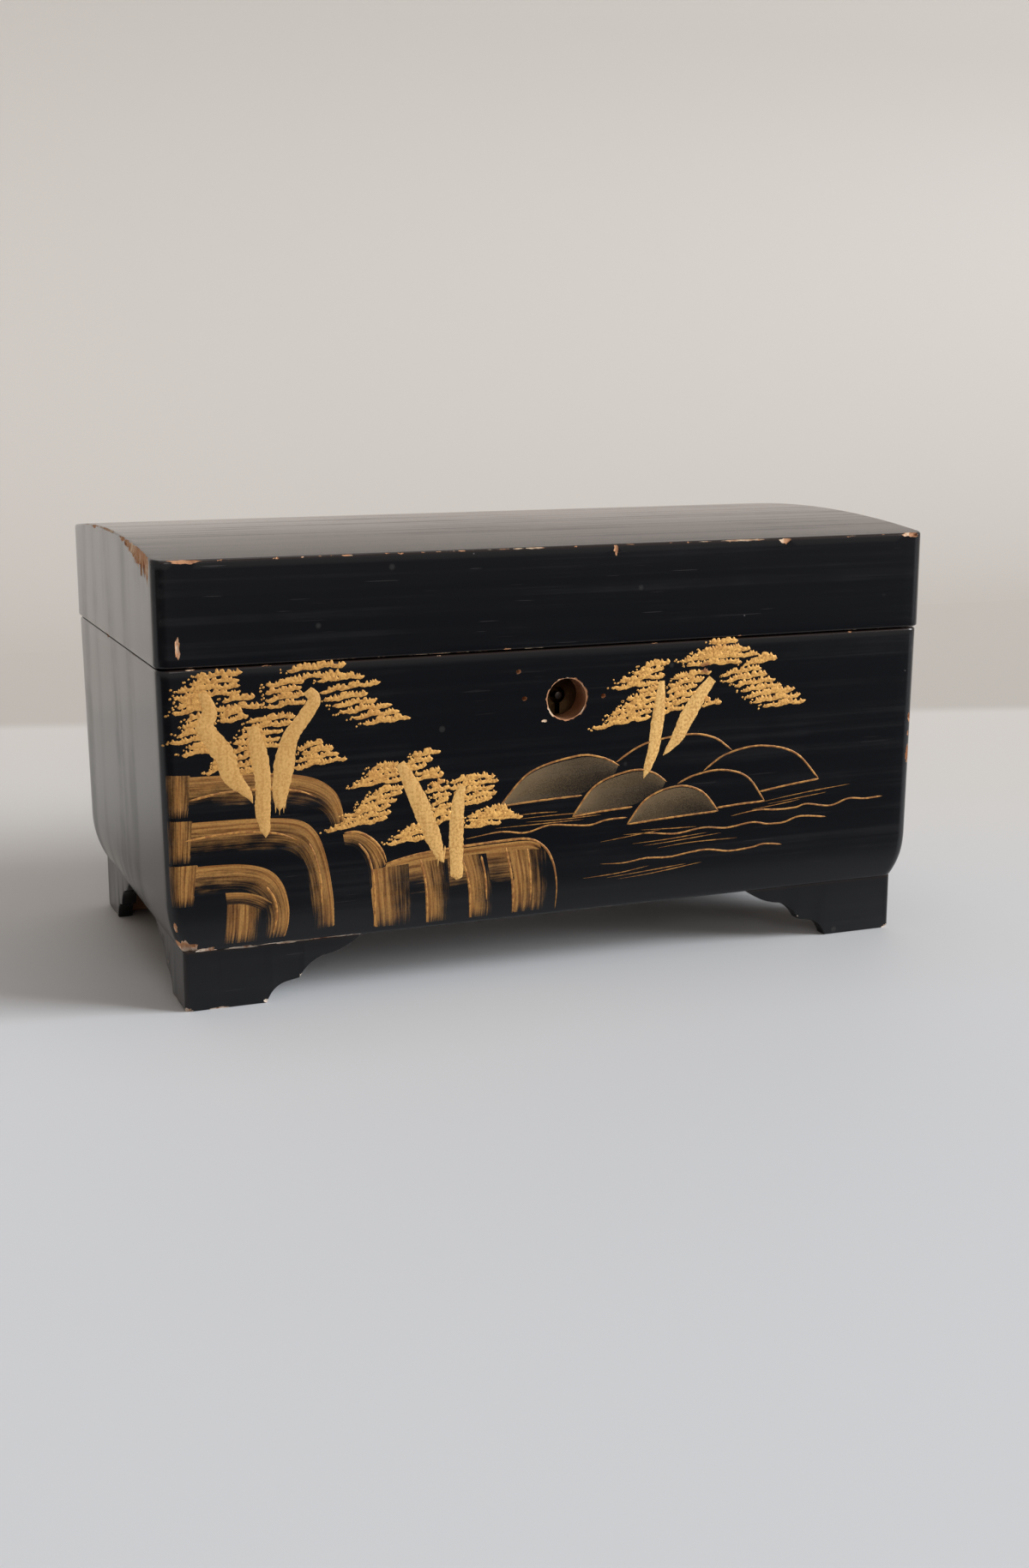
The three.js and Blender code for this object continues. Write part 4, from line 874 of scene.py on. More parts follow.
# Rocks: each wash by its outer line and its inner line, x and z in millimetres.
rock_washes = [
    wash([(-125.6, 73.2), (-112, 73.0), (-96, 72.6), (-82.5, 70.2), (-75.6, 65.6), (-73.2, 60.0), (-72.4, 53.6)],
         [(-125.6, 63.0), (-112, 62.6), (-98, 62.2), (-88, 61.4), (-81.5, 59.6), (-78.4, 57.0), (-77.0, 53.6)],
         0.020 * MM, 0),
    wash([(-125.6, 59.6), (-112, 59.4), (-98, 59.0), (-87, 57.6), (-81.6, 53.6), (-78.6, 46.0), (-76.6, 34.0),
          (-76.0, 22.0)],
         [(-125.6, 48.6), (-112, 48.6), (-99, 48.4), (-91, 47.0), (-87.4, 44.0), (-85.2, 38.4), (-84.0, 30.0),
          (-83.6, 21.6)], 0.024 * MM, 2),
    wash([(-125.6, 45.6), (-115, 46.0), (-104, 45.4), (-96.4, 43.0), (-92.2, 38.4), (-90.4, 32.0), (-90.4, 26.0),
          (-91.6, 20.6)],
         [(-125.6, 36.0), (-115, 36.4), (-107, 36.2), (-102.4, 34.8), (-99.6, 32.0), (-98.2, 28.4), (-98.0, 24.4),
          (-98.4, 20.6)], 0.028 * MM, 4),
    wash([(-110.0, 37.0), (-104, 36.6), (-99.0, 35.0), (-95.4, 32.4)],
         [(-109.6, 33.0), (-105, 32.6), (-101.4, 31.4), (-98.6, 30.0)], 0.034 * MM, 5),
    wash([(-98.6, 33.4), (-98.8, 27.0), (-99.4, 20.2)], [(-109.8, 34.4), (-110.2, 28.0), (-110.8, 20.4)],
         0.030 * MM, 12, 30, True),
    wash([(-126.6, 60.0), (-126.6, 53.0), (-126.4, 46.6)], [(-118.6, 59.8), (-119.2, 53.0), (-120.0, 46.6)],
         0.036 * MM, 10, 24, True),
    wash([(-126.6, 73.8), (-126.6, 66.0), (-126.4, 60.4)], [(-118.8, 73.4), (-119.4, 66.0), (-120.2, 60.4)],
         0.036 * MM, 11, 24, True),
    wash([(-126.8, 46.4), (-126.8, 40.0), (-126.2, 33.4)], [(-117.4, 46.4), (-118.4, 40.0), (-119.4, 33.4)],
         0.038 * MM, 13, 24, True),
    wash([(-73.6, 51.6), (-68.6, 51.4), (-63.8, 48.6), (-60.8, 44.6), (-59.6, 41.2)],
         [(-73.0, 48.0), (-69.4, 46.6), (-66.8, 43.0), (-65.6, 38.0), (-65.4, 32.0)], 0.026 * MM, 6, 40),
    wash([(-60.0, 41.2), (-50.0, 43.0), (-38.0, 43.8), (-24.0, 44.4), (-13.0, 44.4), (-8.4, 42.4)],
         [(-64.0, 29.0), (-52.0, 30.0), (-38.0, 30.4), (-24.0, 31.0), (-13.0, 30.8), (-8.0, 30.0)],
         0.030 * MM, 18, 70),
    wash([(-65.6, 40.0), (-65.0, 30.0), (-63.8, 20.6)], [(-51.6, 41.0), (-51.2, 30.0), (-50.8, 20.2)],
         0.033 * MM, 16, 34),
    wash([(-48.8, 41.2), (-47.4, 34.0), (-46.8, 27.0), (-46.6, 20.2)],
         [(-39.4, 41.2), (-38.8, 34.0), (-38.4, 27.0), (-38.2, 20.2)], 0.036 * MM, 14, 34),
    wash([(-35.6, 41.8), (-33.4, 34.0), (-32.6, 27.0), (-32.4, 20.2)],
         [(-26.6, 41.8), (-25.4, 34.0), (-24.8, 27.0), (-24.6, 20.2)], 0.036 * MM, 15, 34),
    wash([(-20.6, 42.4), (-18.8, 34.0), (-18.2, 27.0), (-18.0, 20.4)],
         [(-6.6, 41.2), (-6.2, 34.0), (-6.0, 27.0), (-6.0, 20.4)], 0.036 * MM, 17, 34),
]
wash_gold, wash_tree, wash_shader = new_material("gold_wash", ior=1.45)
wash_place = object_place(wash_tree)
wash_skin = place_group(wash_tree, film, {"Place": wash_place, "Worn": 0.3})
brush_parts = add(wash_tree, "ShaderNodeSeparateXYZ",
                  {0: add(wash_tree, "ShaderNodeAttribute", attribute_name="brush").outputs["Vector"]}).outputs
run, across, left = brush_parts["X"], brush_parts["Y"], brush_parts["Z"]
brush_place = add(wash_tree, "ShaderNodeCombineXYZ", {0: run, 1: across}).outputs[0]
bristles = noise(wash_tree, brush_place, (0.035, 13.0, 1.0), detail=5, roughness=0.68)
patches = noise(wash_tree, brush_place, (0.09, 2.0, 1.0), detail=4)
edge_line = calc(wash_tree, "MULTIPLY", step_up(wash_tree, across, 0.15, 0.06), step_up(wash_tree, across, -0.05, 0.0))
one_side = calc(wash_tree, "SUBTRACT", 1.0, across)
both_sides = calc(wash_tree, "MULTIPLY", across, -0.9)
body = calc(wash_tree, "MINIMUM", one_side, calc(wash_tree, "ADD", both_sides, calc(
    wash_tree, "MULTIPLY", calc(wash_tree, "GREATER_THAN", across, 0.0), 9.0)))
body = calc(wash_tree, "ADD", body, calc(wash_tree, "MULTIPLY", calc(wash_tree, "SUBTRACT", bristles, 0.5), 1.15))
body = calc(wash_tree, "ADD", body, calc(wash_tree, "MULTIPLY", calc(wash_tree, "SUBTRACT", patches, 0.5), 1.1))
foot = step_up(wash_tree, calc(wash_tree, "ADD", left, calc(wash_tree, "MULTIPLY", bristles, 9.0)), 4.2, 8.5)
strength = calc(wash_tree, "MULTIPLY", step_up(wash_tree, body, 0.04, 0.98), foot)
line_strength = calc(wash_tree, "MULTIPLY", edge_line, calc(wash_tree, "ADD", 0.45, bristles))
cover = calc(wash_tree, "MAXIMUM", calc(wash_tree, "MULTIPLY", strength, 0.9), line_strength, clamp=True)
powder = noise(wash_tree, wash_place, (1600, 1600, 1600), detail=2)
cover = calc(wash_tree, "MULTIPLY", cover, step_up(wash_tree, powder, 0.25, 0.6, 0.72, 1.0))
wash_tone = blend_colour(wash_tree, step_up(wash_tree, bristles, 0.38, 0.6), (0.30, 0.115, 0.022, 1),
                         (0.50, 0.25, 0.065, 1))
wash_colour = blend_colour(wash_tree, cover, wash_skin["Color"], wash_tone)
wash_tree.links.new(wash_colour, wash_shader.inputs["Base Color"])
wash_tree.links.new(calc(wash_tree, "ADD", wash_skin["Roughness"], calc(wash_tree, "MULTIPLY", cover, 0.25)),
                    wash_shader.inputs["Roughness"])
wash_tree.links.new(calc(wash_tree, "MULTIPLY", cover, 0.15), wash_shader.inputs["Metallic"])
wash_height = calc(wash_tree, "ADD", wash_skin["Height"], calc(wash_tree, "MULTIPLY", cover, 1.5))
wash_tree.links.new(bumped(wash_tree, wash_height, 0.005 * MM), wash_shader.inputs["Normal"])
painted("gold_rocks", rock_washes, wash_gold)


# Hills: an arc by its start, crest and end, the two ends of its foot line, and the lower edge of its gold powder.
hills = [
    (((-22.6, 55.8), (3.4, 69.8), (18.3, 65.6)), ((-22.6, 55.8), (5.4, 57.0)),
     [(-22.6, 55.8), (-8.0, 56.5), (5.0, 57.0), (10.2, 60.2), (16.8, 62.8)]),
    (((16.6, 66.6), (42.0, 74.0), (58.4, 67.6)), None, None),
    (((2.0, 50.4), (22.5, 63.7), (35.0, 59.0)), ((2.0, 50.4), (23.0, 51.8)),
     [(2.0, 50.4), (12.0, 51.1), (23.5, 51.9), (28.2, 54.4), (33.4, 56.6)]),
    (((48.0, 61.6), (68.6, 68.4), (91.0, 55.6)), ((91.0, 55.6), (68.6, 53.0)), None),
    (((38.6, 58.0), (54.7, 61.4), (70.8, 49.7)), ((70.8, 49.7), (53.0, 48.9)), None),
    (((21.0, 46.2), (38.9, 57.3), (53.8, 47.8)), ((53.8, 47.8), (21.0, 46.2)), [(21.0, 46.2), (37.4, 47.0), (53.8, 47.8)]),
]
line_half_width = 0.33
line_strokes, dust_washes = [], []


def line(points, width=line_half_width, seed=0, start=0.05, end=0.05):
    """A thin painted line with a slightly uneven edge."""
    length = np.hypot(*np.diff(np.array(points), axis=0).T).sum()
    count = max(8, int(length / 0.45))
    line_strokes.append(stroke(even_path(points, count), tapered(count, width, start, end), 0.065 * MM, 0.14, seed))


for number, (arc, foot, dust_foot) in enumerate(hills):
    start, crest, end = (np.array(p) for p in arc)
    rising = (start + crest) / 2 + (crest - start) * [-0.10, 0.22]
    falling = (crest + end) / 2 + (end - crest) * [0.08, -0.24]
    line([start, rising, crest, falling, end], seed=300 + number)
    if foot:
        middle = np.mean(foot, axis=0) + [0, 0.15]
        line([foot[0], middle, foot[1]], seed=320 + number)
    if dust_foot:
        dust_washes.append(wash([start, rising, crest, falling, end], dust_foot, 0.020 * MM, 0, 60, across=12))

water = [
    [(58.5, 45.7), (64, 46.5), (69.3, 46.9), (76, 46.4), (82.5, 46.6), (86.6, 47.4), (95.5, 46.1), (102.4, 47.9),
     (109, 47.4), (115.7, 47.7)],
    [(19.8, 42.9), (29, 42.6), (38.4, 41.6), (48.6, 42.7), (56.8, 41.9), (66.2, 42.9), (72, 41.9), (78.1, 41.9),
     (84.2, 43.4), (94.3, 42.4)],
    [(11.7, 34.0), (20, 33.6), (28, 34.4), (36, 34.0), (44, 34.9), (50, 35.2), (58, 34.0), (66, 34.4), (71, 35.2),
     (77.7, 34.4)],
    [(-34, 46.4), (-22.3, 47.6), (-14, 46.6), (-6, 48.3), (2, 47.6), (8, 47.1), (14, 48.3), (21.2, 48.5)],
]
for number, points in enumerate(water):
    line(points, 0.29, 340 + number, 0.25, 0.03)
streaks = [
    ((69.0, 49.4), (86, 51.4), (103, 52.9)), ((72.0, 48.6), (82, 49.6), (94.0, 50.8)), ((66.0, 47.2), (76, 48.2), (84, 49.2)),
    ((26.0, 43.9), (36, 43.5), (46.0, 43.3)), ((11.7, 41.2), (22, 42.2), (33.0, 43.4)), ((23.0, 39.6), (35, 40.0), (50.0, 41.0)),
    ((27.0, 38.6), (38, 39.2), (55.0, 40.4)), ((32.0, 37.4), (44, 38.2), (61.0, 38.2)), ((5.8, 29.8), (18, 30.4), (29.0, 31.8)),
    ((14.0, 29.2), (26, 30.0), (42.3, 31.2)), ((18.0, 28.4), (30, 29.2), (48.0, 31.2)), ((-16.0, 51.2), (-6, 51.4), (6.0, 51.4)),
    ((-14.0, 50.0), (-2, 49.8), (12.0, 50.2)), ((-24.0, 48.9), (-10, 49.0), (6.0, 49.2)), ((-18.0, 52.4), (-10, 52.6), (-3.0, 52.4)),
]
for number, points in enumerate(streaks):
    line(points, 0.17, 360 + number, 0.7, 0.35)
rock_lines = [
    [(-121.4, 53.6), (-112, 54.6), (-104, 54.8), (-94, 53.6), (-87.0, 50.8)],
    [(-84.0, 49.8), (-82.0, 45.0), (-80.6, 38.0), (-80.4, 30.4)],
    [(-97.4, 37.6), (-95.0, 33.4), (-94.4, 28.4), (-95.6, 22.4)],
    [(-120.0, 65.6), (-110, 67.2), (-98, 67.4), (-87, 66.0), (-81.0, 63.4)],
    [(-68.6, 48.4), (-65.4, 43.6), (-63.8, 36.0), (-63.6, 26.0), (-63.6, 21.0)],
    [(-60.4, 40.9), (-50.0, 42.9), (-38.0, 43.9), (-24.0, 44.6), (-14.0, 44.6), (-8.6, 42.4), (-5.0, 37.4), (-3.4, 30.0),
     (-3.2, 20.4)],
    [(-48.9, 41.6), (-47.2, 34.0), (-46.7, 27.0), (-46.5, 20.4)],
    [(-35.7, 42.0), (-33.3, 34.0), (-32.5, 27.0), (-32.3, 20.4)],
    [(-28.8, 40.6), (-27.5, 34.0), (-27.0, 26.0)],
    [(-20.7, 42.8), (-18.8, 34.0), (-18.1, 27.0), (-17.9, 20.6)],
    [(-13.4, 41.8), (-12.4, 34.0), (-12.0, 24.0)],
    [(-73.0, 51.8), (-68.4, 51.6), (-63.7, 48.7), (-60.7, 44.6), (-59.6, 41.4)],
]
for number, points in enumerate(rock_lines):
    line(points, 0.42, 400 + number, 0.06, 0.25)

line_gold, line_tree, line_shader = new_material("gold_line", metallic=0.3, roughness=0.45)
line_place = object_place(line_tree)
line_grain = noise(line_tree, line_place, (700, 700, 700), detail=4)
line_fade = noise(line_tree, line_place, (60, 60, 60), detail=2)
line_colour = blend_colour(line_tree, step_up(line_tree, line_grain, 0.4, 0.6), (0.31, 0.125, 0.03, 1),
                           (0.55, 0.265, 0.065, 1))
line_colour = blend_colour(line_tree, step_up(line_tree, line_fade, 0.5, 0.75, 0, 0.5), line_colour,
                           (0.16, 0.075, 0.03, 1))
line_tree.links.new(line_colour, line_shader.inputs["Base Color"])
line_tree.links.new(bumped(line_tree, line_grain, 0.03 * MM), line_shader.inputs["Normal"])
painted("gold_lines", line_strokes, line_gold)

dust_gold, dust_tree, dust_shader = new_material("gold_dust", ior=1.45)
dust_place = object_place(dust_tree)
dust_skin = place_group(dust_tree, film, {"Place": dust_place, "Worn": 0.3})
dust_share = add(dust_tree, "ShaderNodeSeparateXYZ",
                 {0: add(dust_tree, "ShaderNodeAttribute", attribute_name="brush").outputs["Vector"]}).outputs
dust_cloud = noise(dust_tree, dust_place, (60, 60, 60), detail=3)
dust_density = calc(dust_tree, "ADD", step_up(dust_tree, dust_share["X"], 34.0, 2.0, 0.0, 0.5),
                    step_up(dust_tree, dust_share["Y"], 0.9, 0.0, 0.0, 0.42))
dust_density = calc(dust_tree, "MULTIPLY", dust_density, step_up(dust_tree, dust_cloud, 0.2, 0.7, 0.6, 1.1))
dust_grain = noise(dust_tree, dust_place, (2600, 2600, 2600), detail=2, roughness=0.6)
dust_cover = step_up(dust_tree, calc(dust_tree, "ADD", calc(dust_tree, "MULTIPLY", dust_grain, 0.6),
                                     calc(dust_tree, "MULTIPLY", dust_density, 0.62)), 0.08, 1.08)
dust_colour = blend_colour(dust_tree, dust_cover, dust_skin["Color"], (0.20, 0.135, 0.068, 1))
dust_tree.links.new(dust_colour, dust_shader.inputs["Base Color"])
dust_tree.links.new(calc(dust_tree, "ADD", dust_skin["Roughness"], calc(dust_tree, "MULTIPLY", dust_cover, 0.2)),
                    dust_shader.inputs["Roughness"])
dust_tree.links.new(bumped(dust_tree, dust_skin["Height"], 0.005 * MM), dust_shader.inputs["Normal"])
painted("gold_hills", dust_washes, dust_gold)


# Lid
# A frame of four boards under a top board that is planed to a low arc from front to back. The lid was sawn off
# the closed box, so its walls are as thick as the case's.
lid_low, lid_high = (np.array(c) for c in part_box("lid_front"))
lid_top_low, lid_top_high = (np.array(c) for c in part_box("lid_top"))
lid_half = np.array([lid_top_high[0], lid_top_high[1]])
lid_bottom_z = lid_low[2]
lid_ceiling_z = lid_top_low[2]
lid_crown = 3.8 * MM
lid_edge_z = lid_top_high[2] - lid_crown
crown_radius = (lid_half[1] ** 2 + lid_crown**2) / (2 * lid_crown)


def crown(y):
    """Height of the lid's arched top over a point's y: the circle through both edges and the middle."""
    return lid_edge_z + lid_crown - crown_radius + np.sqrt(crown_radius**2 - y**2)


def lid_points():
    """Rows from the middle of the ceiling out and down inside, round the lower edge, up and over the top."""
    r = edge_radius
    inner = wall_thickness
    rows = [(d, lid_ceiling_z, 0, 0) for d in np.linspace(lid_half[1], inner, 8)]
    rows += [(inner, lid_bottom_z + 0.4 * MM, 0, 0), (inner - 0.4 * MM, lid_bottom_z, 0, 0)]
    rows += [(r + r * np.cos(a), lid_bottom_z + r + r * np.sin(a), 0, 0)
             for a in np.radians(np.linspace(-90, -180, 5))]
    rows += [(0, lid_bottom_z + r, share, 0) for share in np.linspace(0, 1, 16)[1:]]
    rows += [(r + r * np.cos(a), r - r * np.sin(a), 0, 1) for a in np.radians(np.linspace(180, 90, 6))[1:]]
    rows += [(d, 0, 0, 1) for d in r + (lid_half[1] - r) * np.linspace(0, 1, 30)[1:] ** 1.3]
    inset, level, share, on_top = np.array(rows).T
    points = rings(
        lid_half[0] - inset, lid_half[1] - inset, np.maximum(corner_radius - inset, 0.0) + 1e-7, level[:, None]
    )
    arched = crown(points[..., 1])
    rising = level[:, None] + share[:, None] * (arched - edge_radius - level[:, None])
    points[..., 2] = np.where(on_top[:, None] > 0, arched - level[:, None], rising)
    return points


lid_lacquer = lacquered("lid_lacquer", lid_half[0], lid_half[1], lid_bottom_z, lid_top_high[2], 0.62,
                        lid_crown)
lid_shell = as_object(clean_mesh(grid_mesh("lid_shell", [lid_points()])), lid_lacquer, chipped_wood, pine)
strike_low, strike_high = (np.array(c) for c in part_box("lid_strike"))
lid_cutters = [bar("strike_bed", (strike_low[0] - 0.3 * MM, strike_low[1] - 0.3 * MM, 100 * MM),
                   (strike_high[0] + 0.3 * MM, -50 * MM, lid_bottom_z + selvage_thickness), 2)]
for side in ("left", "right"):
    leaf_low, leaf_high = (np.array(c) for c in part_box(f"hinge_{side}_lid_leaf"))
    lid_cutters.append(bar(f"hinge_bed_{side}", (leaf_low[0] - 0.3 * MM, lid_half[1] - leaf_reach, 100 * MM),
                           (leaf_high[0] + 0.3 * MM, 80 * MM, lid_bottom_z + leaf_sheet), 2))
edge_level = lid_edge_z / MM
lid_chips = [
    (-119.0, -68.1, edge_level + 0.1, 5.6, 0.8, 1.1), (-108.0, -68.2, edge_level + 0.2, 3.4, 0.6, 0.7),
    (-92.0, -68.2, edge_level, 1.3, 0.6, 0.6), (-70.0, -68.2, edge_level, 2.2, 0.6, 0.6),
    (-34.0, -68.2, edge_level + 0.1, 3.4, 0.5, 0.5), (16.0, -68.2, edge_level - 0.9, 0.9, 0.5, 2.3),
    (22.0, -68.2, edge_level + 0.1, 5.0, 0.5, 0.5), (75.5, -68.2, edge_level - 0.4, 2.2, 0.6, 1.5),
    (122.8, -67.9, edge_level - 0.1, 3.2, 1.1, 1.1), (-121.6, -68.1, 110.4, 0.8, 0.45, 3.0),
    (-128.2, -60.6, edge_level - 1.4, 0.7, 2.4, 6.4), (-128.2, -57.0, edge_level - 0.6, 0.8, 3.0, 5.0),
    (-128.2, -52.6, edge_level + 0.2, 0.8, 3.4, 5.6), (-128.2, -47.6, edge_level + 0.8, 0.8, 3.6, 4.0),
    (-128.2, -42.4, edge_level + 1.4, 0.8, 3.8, 3.6), (-128.2, -37.0, edge_level + 2.0, 0.8, 3.8, 2.4),
    (-128.2, -31.0, edge_level + 2.5, 0.8, 4.0, 1.7), (-128.2, -24.0, edge_level + 3.0, 0.7, 4.2, 0.9),
    (-128.2, 2.0, edge_level + 3.9, 0.6, 7.0, 0.8), (-128.2, 26.0, edge_level + 3.2, 0.7, 6.0, 0.9),
    (-128.1, -56.0, edge_level + 1.2, 0.6, 3.0, 0.7), (128.1, -18.0, edge_level + 3.6, 0.6, 6.0, 0.8),
    (128.1, 30.0, edge_level + 3.0, 0.6, 4.0, 0.8), (-50.0, 68.2, edge_level, 4.0, 0.6, 0.7),
    (70.0, 68.2, edge_level, 3.0, 0.5, 0.6), (-127.6, 67.4, edge_level - 0.4, 1.2, 1.3, 1.3),
    (127.3, 67.3, 110.0, 0.9, 0.9, 2.2), (-20.0, -68.1, 104.9, 1.6, 0.5, 0.4), (60.0, -68.1, 104.9, 1.4, 0.4, 0.3),
    (-128.0, 10.0, 104.9, 0.5, 2.0, 0.4),
]
nick_random = np.random.default_rng(12)
for nick_x in (-84, -78.5, -75, -58, -54, -47, -21, -8, 2.5, 35, 41, 55, 66, 99, 112):
    lid_chips.append((nick_x, -68.15, edge_level, nick_random.uniform(0.5, 1.7), 0.5, nick_random.uniform(0.3, 0.55)))
cut_away(lid_shell, *lid_cutters, *chips("lid_chip", lid_chips, 71))
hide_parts("lid_front", "lid_back", "lid_left", "lid_right", "lid_top")
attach(lid_shell, "lid")


# Lining of the case
# Card covered in red silk, glued round the four walls, with a rolled top edge that dips and rises a little.
lining_low, lining_high = (np.array(c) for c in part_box("lining_front"))
lining_half = np.array([lining_high[0], -lining_low[1]])
lining_thickness = lining_high[1] - lining_low[1]
floor_z = lining_low[2]


def lining_points():
    """A thin ring of cloth-covered card: up the wall side, over a round top edge, and down the inner side. Above the
    floor, every row dips by up to half a millimetre in a wave round the ring."""
    t = lining_thickness
    top = lining_high[2]
    rows = [(0.0, z) for z in np.linspace(floor_z, top - t / 2, 24)]
    rows += [(t / 2 + t / 2 * np.cos(a), top - t / 2 + t / 2 * np.sin(a)) for a in np.radians(np.linspace(180, 0, 9))[1:]]
    rows += [(t, z) for z in np.linspace(top - t / 2, floor_z, 24)[1:]]
    inset, level = np.array(rows).T
    points = rings(lining_half[0] - inset, lining_half[1] - inset, np.maximum(1.4 * MM - inset, 0.2 * MM), level[:, None])
    around = points[..., 0] * 55 + points[..., 1] * 71
    points[..., 2] -= 0.25 * MM * (1 + np.sin(around)) * (level[:, None] > floor_z + t)
    return points


silk_group, silk_in, silk_out = new_group("silk_weave", [("Place", VECTOR), ("Light", COLOUR), ("Dark", COLOUR)],
                                          [("Color", COLOUR), ("Height", VALUE)])
threads_x = add(silk_group, "ShaderNodeTexWave", {"Vector": silk_in["Place"], "Scale": 520.0, "Distortion": 0.6},
                bands_direction="DIAGONAL").outputs["Fac"]
slubs = noise(silk_group, silk_in["Place"], (40, 40, 1500), detail=3)
faded = noise(silk_group, silk_in["Place"], (14, 14, 14), detail=4)
silk_share = calc(silk_group, "ADD", calc(silk_group, "MULTIPLY", threads_x, 0.35),
                  calc(silk_group, "ADD", calc(silk_group, "MULTIPLY", slubs, 0.4),
                       calc(silk_group, "MULTIPLY", faded, 0.6)))
silk_group.links.new(blend_colour(silk_group, step_up(silk_group, silk_share, 0.4, 0.95), silk_in["Dark"],
                                  silk_in["Light"]), silk_out["Color"])
silk_group.links.new(calc(silk_group, "ADD", calc(silk_group, "MULTIPLY", threads_x, 0.6),
                          calc(silk_group, "MULTIPLY", slubs, 0.6)), silk_out["Height"])


def silk_cloth(name, dark, light, roughness, sheen):
    """A silk or velvet in two tones, with a fine weave and a soft sheen."""
    material, tree, shader = new_material(name, roughness=roughness)
    shader.inputs["Sheen Weight"].default_value = sheen
    shader.inputs["Sheen Roughness"].default_value = 0.4
    weave = place_group(tree, silk_group, {"Place": object_place(tree), "Light": light, "Dark": dark})
    tree.links.new(weave["Color"], shader.inputs["Base Color"])
    tree.links.new(bumped(tree, weave["Height"], 0.08 * MM), shader.inputs["Normal"])
    return material


lining_silk = silk_cloth("lining_silk", (0.075, 0.008, 0.012, 1), (0.22, 0.022, 0.03, 1), 0.55, 0.25)
pad_velvet = silk_cloth("pad_velvet", (0.055, 0.005, 0.010, 1), (0.15, 0.012, 0.022, 1), 0.85, 0.6)
lining = as_object(clean_mesh(grid_mesh("case_lining", [lining_points()], wrap_rows=True)), lining_silk)
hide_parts("lining_front", "lining_back", "lining_left", "lining_right")
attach(lining, "case")


# Pads
# Wadding under velvet: the floor pad of the case and the three flat pads of the tray. Each is crowned, drawn in
# between its corners and round at the rim, with faint folds that run in from the corners.
def pad_points(low, high, crown_share, drawn_in, cells):
    """Rows of rings from the middle of the base out, up the rolled side and in over the crown. A ring follows a
    square whose sides bend in by drawn_in * (1 - v**2); the top rises by crown_share towards the middle."""
    low, high = np.array(low), np.array(high)
    middle, half, tall = (low + high) / 2, (high - low) / 2, high[2] - low[2]
    side = np.linspace(-1, 1, cells, endpoint=False)
    one = np.ones(cells)
    square = np.concatenate([np.stack([side, -one], -1), np.stack([one, side], -1), np.stack([-side, one], -1),
                             np.stack([-one, -side], -1)])
    rim = 0.55 * tall
    turn = np.radians(np.linspace(-90, 90, 9))
    rolled = [(1 - (1 - np.cos(a)) * rim / 2 / half[:2].min(), rim / 2 + rim / 2 * np.sin(a)) for a in turn]
    rows = [(0.0, 0.0), (0.5, 0.0), *rolled] + [(s, rim) for s in (0.97, 0.93, 0.87, 0.8, 0.7, 0.58, 0.45, 0.3, 0.15, 0)]
    size, level = np.array(rows).T
    flat = size[:, None, None] * square
    u, v = flat[..., 0], flat[..., 1]
    on_top = np.arange(len(rows)) > 10
    swell = (1 - np.abs(u) ** 3.2) * (1 - np.abs(v) ** 3.2)
    folds = 0.05 * tall * np.sin(9 * u * v + 3 * u) * (np.abs(u * v)) * (1 - np.abs(u)) * 4
    z = low[2] + level[:, None] + on_top[:, None] * ((tall - rim) * crown_share * swell + folds * swell)
    x = middle[0] + u * (half[0] - drawn_in * (1 - v**2) * np.abs(u))
    y = middle[1] + v * (half[1] - drawn_in * (1 - u**2) * np.abs(v))
    return np.stack([x, y, np.minimum(z, high[2])], -1)


def velvet_pad(name, node, body, cells=22):
    """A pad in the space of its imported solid."""
    low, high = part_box(node)
    mesh = grid_mesh(name, [pad_points(low, high, 1.0, 0.5 * MM, cells)])
    piece = as_object(clean_mesh(mesh), pad_velvet)
    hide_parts(node)
    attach(piece, body)
    return piece


velvet_pad("floor_pad_velvet", "floor_pad", "case", 36)


# Tray rails, lock, hinges and screws
# Metal let into the wood and two silk-covered rails. Each keeps its imported form; all but the screws have their edges
# rounded.
def eased_copy(node, width, material, segments=2):
    """A piece in a node's form: doubles merged, flat facets joined, and edges sharper than 30 degrees rounded."""
    work = bmesh.new()
    work.from_mesh(nodes[node].data)
    bmesh.ops.remove_doubles(work, verts=work.verts, dist=1e-6)
    bmesh.ops.dissolve_limit(work, angle_limit=np.radians(1), verts=work.verts, edges=work.edges)
    sharp = [e for e in work.edges if len(e.link_faces) == 2 and e.calc_face_angle(0) > np.radians(30)]
    bmesh.ops.bevel(work, geom=sharp, offset=width, offset_type="OFFSET", segments=segments, profile=0.5,
                    affect="EDGES", clamp_overlap=True)
    mesh = bpy.data.meshes.new(f"{node}_eased")
    work.to_mesh(mesh)
    work.free()
    piece = as_object(clean_mesh(mesh, 1e-7, 24), material)
    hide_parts(node)
    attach(piece, nodes[node]["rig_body"])
    return piece


tarnish, tarnish_in, tarnish_out = new_group("tarnish", [("Place", VECTOR), ("Bright", COLOUR), ("Dull", COLOUR)],
                                             [("Color", COLOUR), ("Roughness", VALUE), ("Height", VALUE)])
stain = noise(tarnish, tarnish_in["Place"], (130, 130, 130), detail=5, roughness=0.62)
pits = noise(tarnish, tarnish_in["Place"], (900, 900, 900), detail=3)
stain_share = step_up(tarnish, calc(tarnish, "ADD", calc(tarnish, "MULTIPLY", stain, 0.8),
                                    calc(tarnish, "MULTIPLY", pits, 0.2)), 0.38, 0.66)
tarnish.links.new(blend_colour(tarnish, stain_share, tarnish_in["Bright"], tarnish_in["Dull"]), tarnish_out["Color"])
tarnish.links.new(step_up(tarnish, stain_share, 0.0, 1.0, 0.28, 0.55), tarnish_out["Roughness"])
tarnish.links.new(calc(tarnish, "ADD", pits, stain), tarnish_out["Height"])


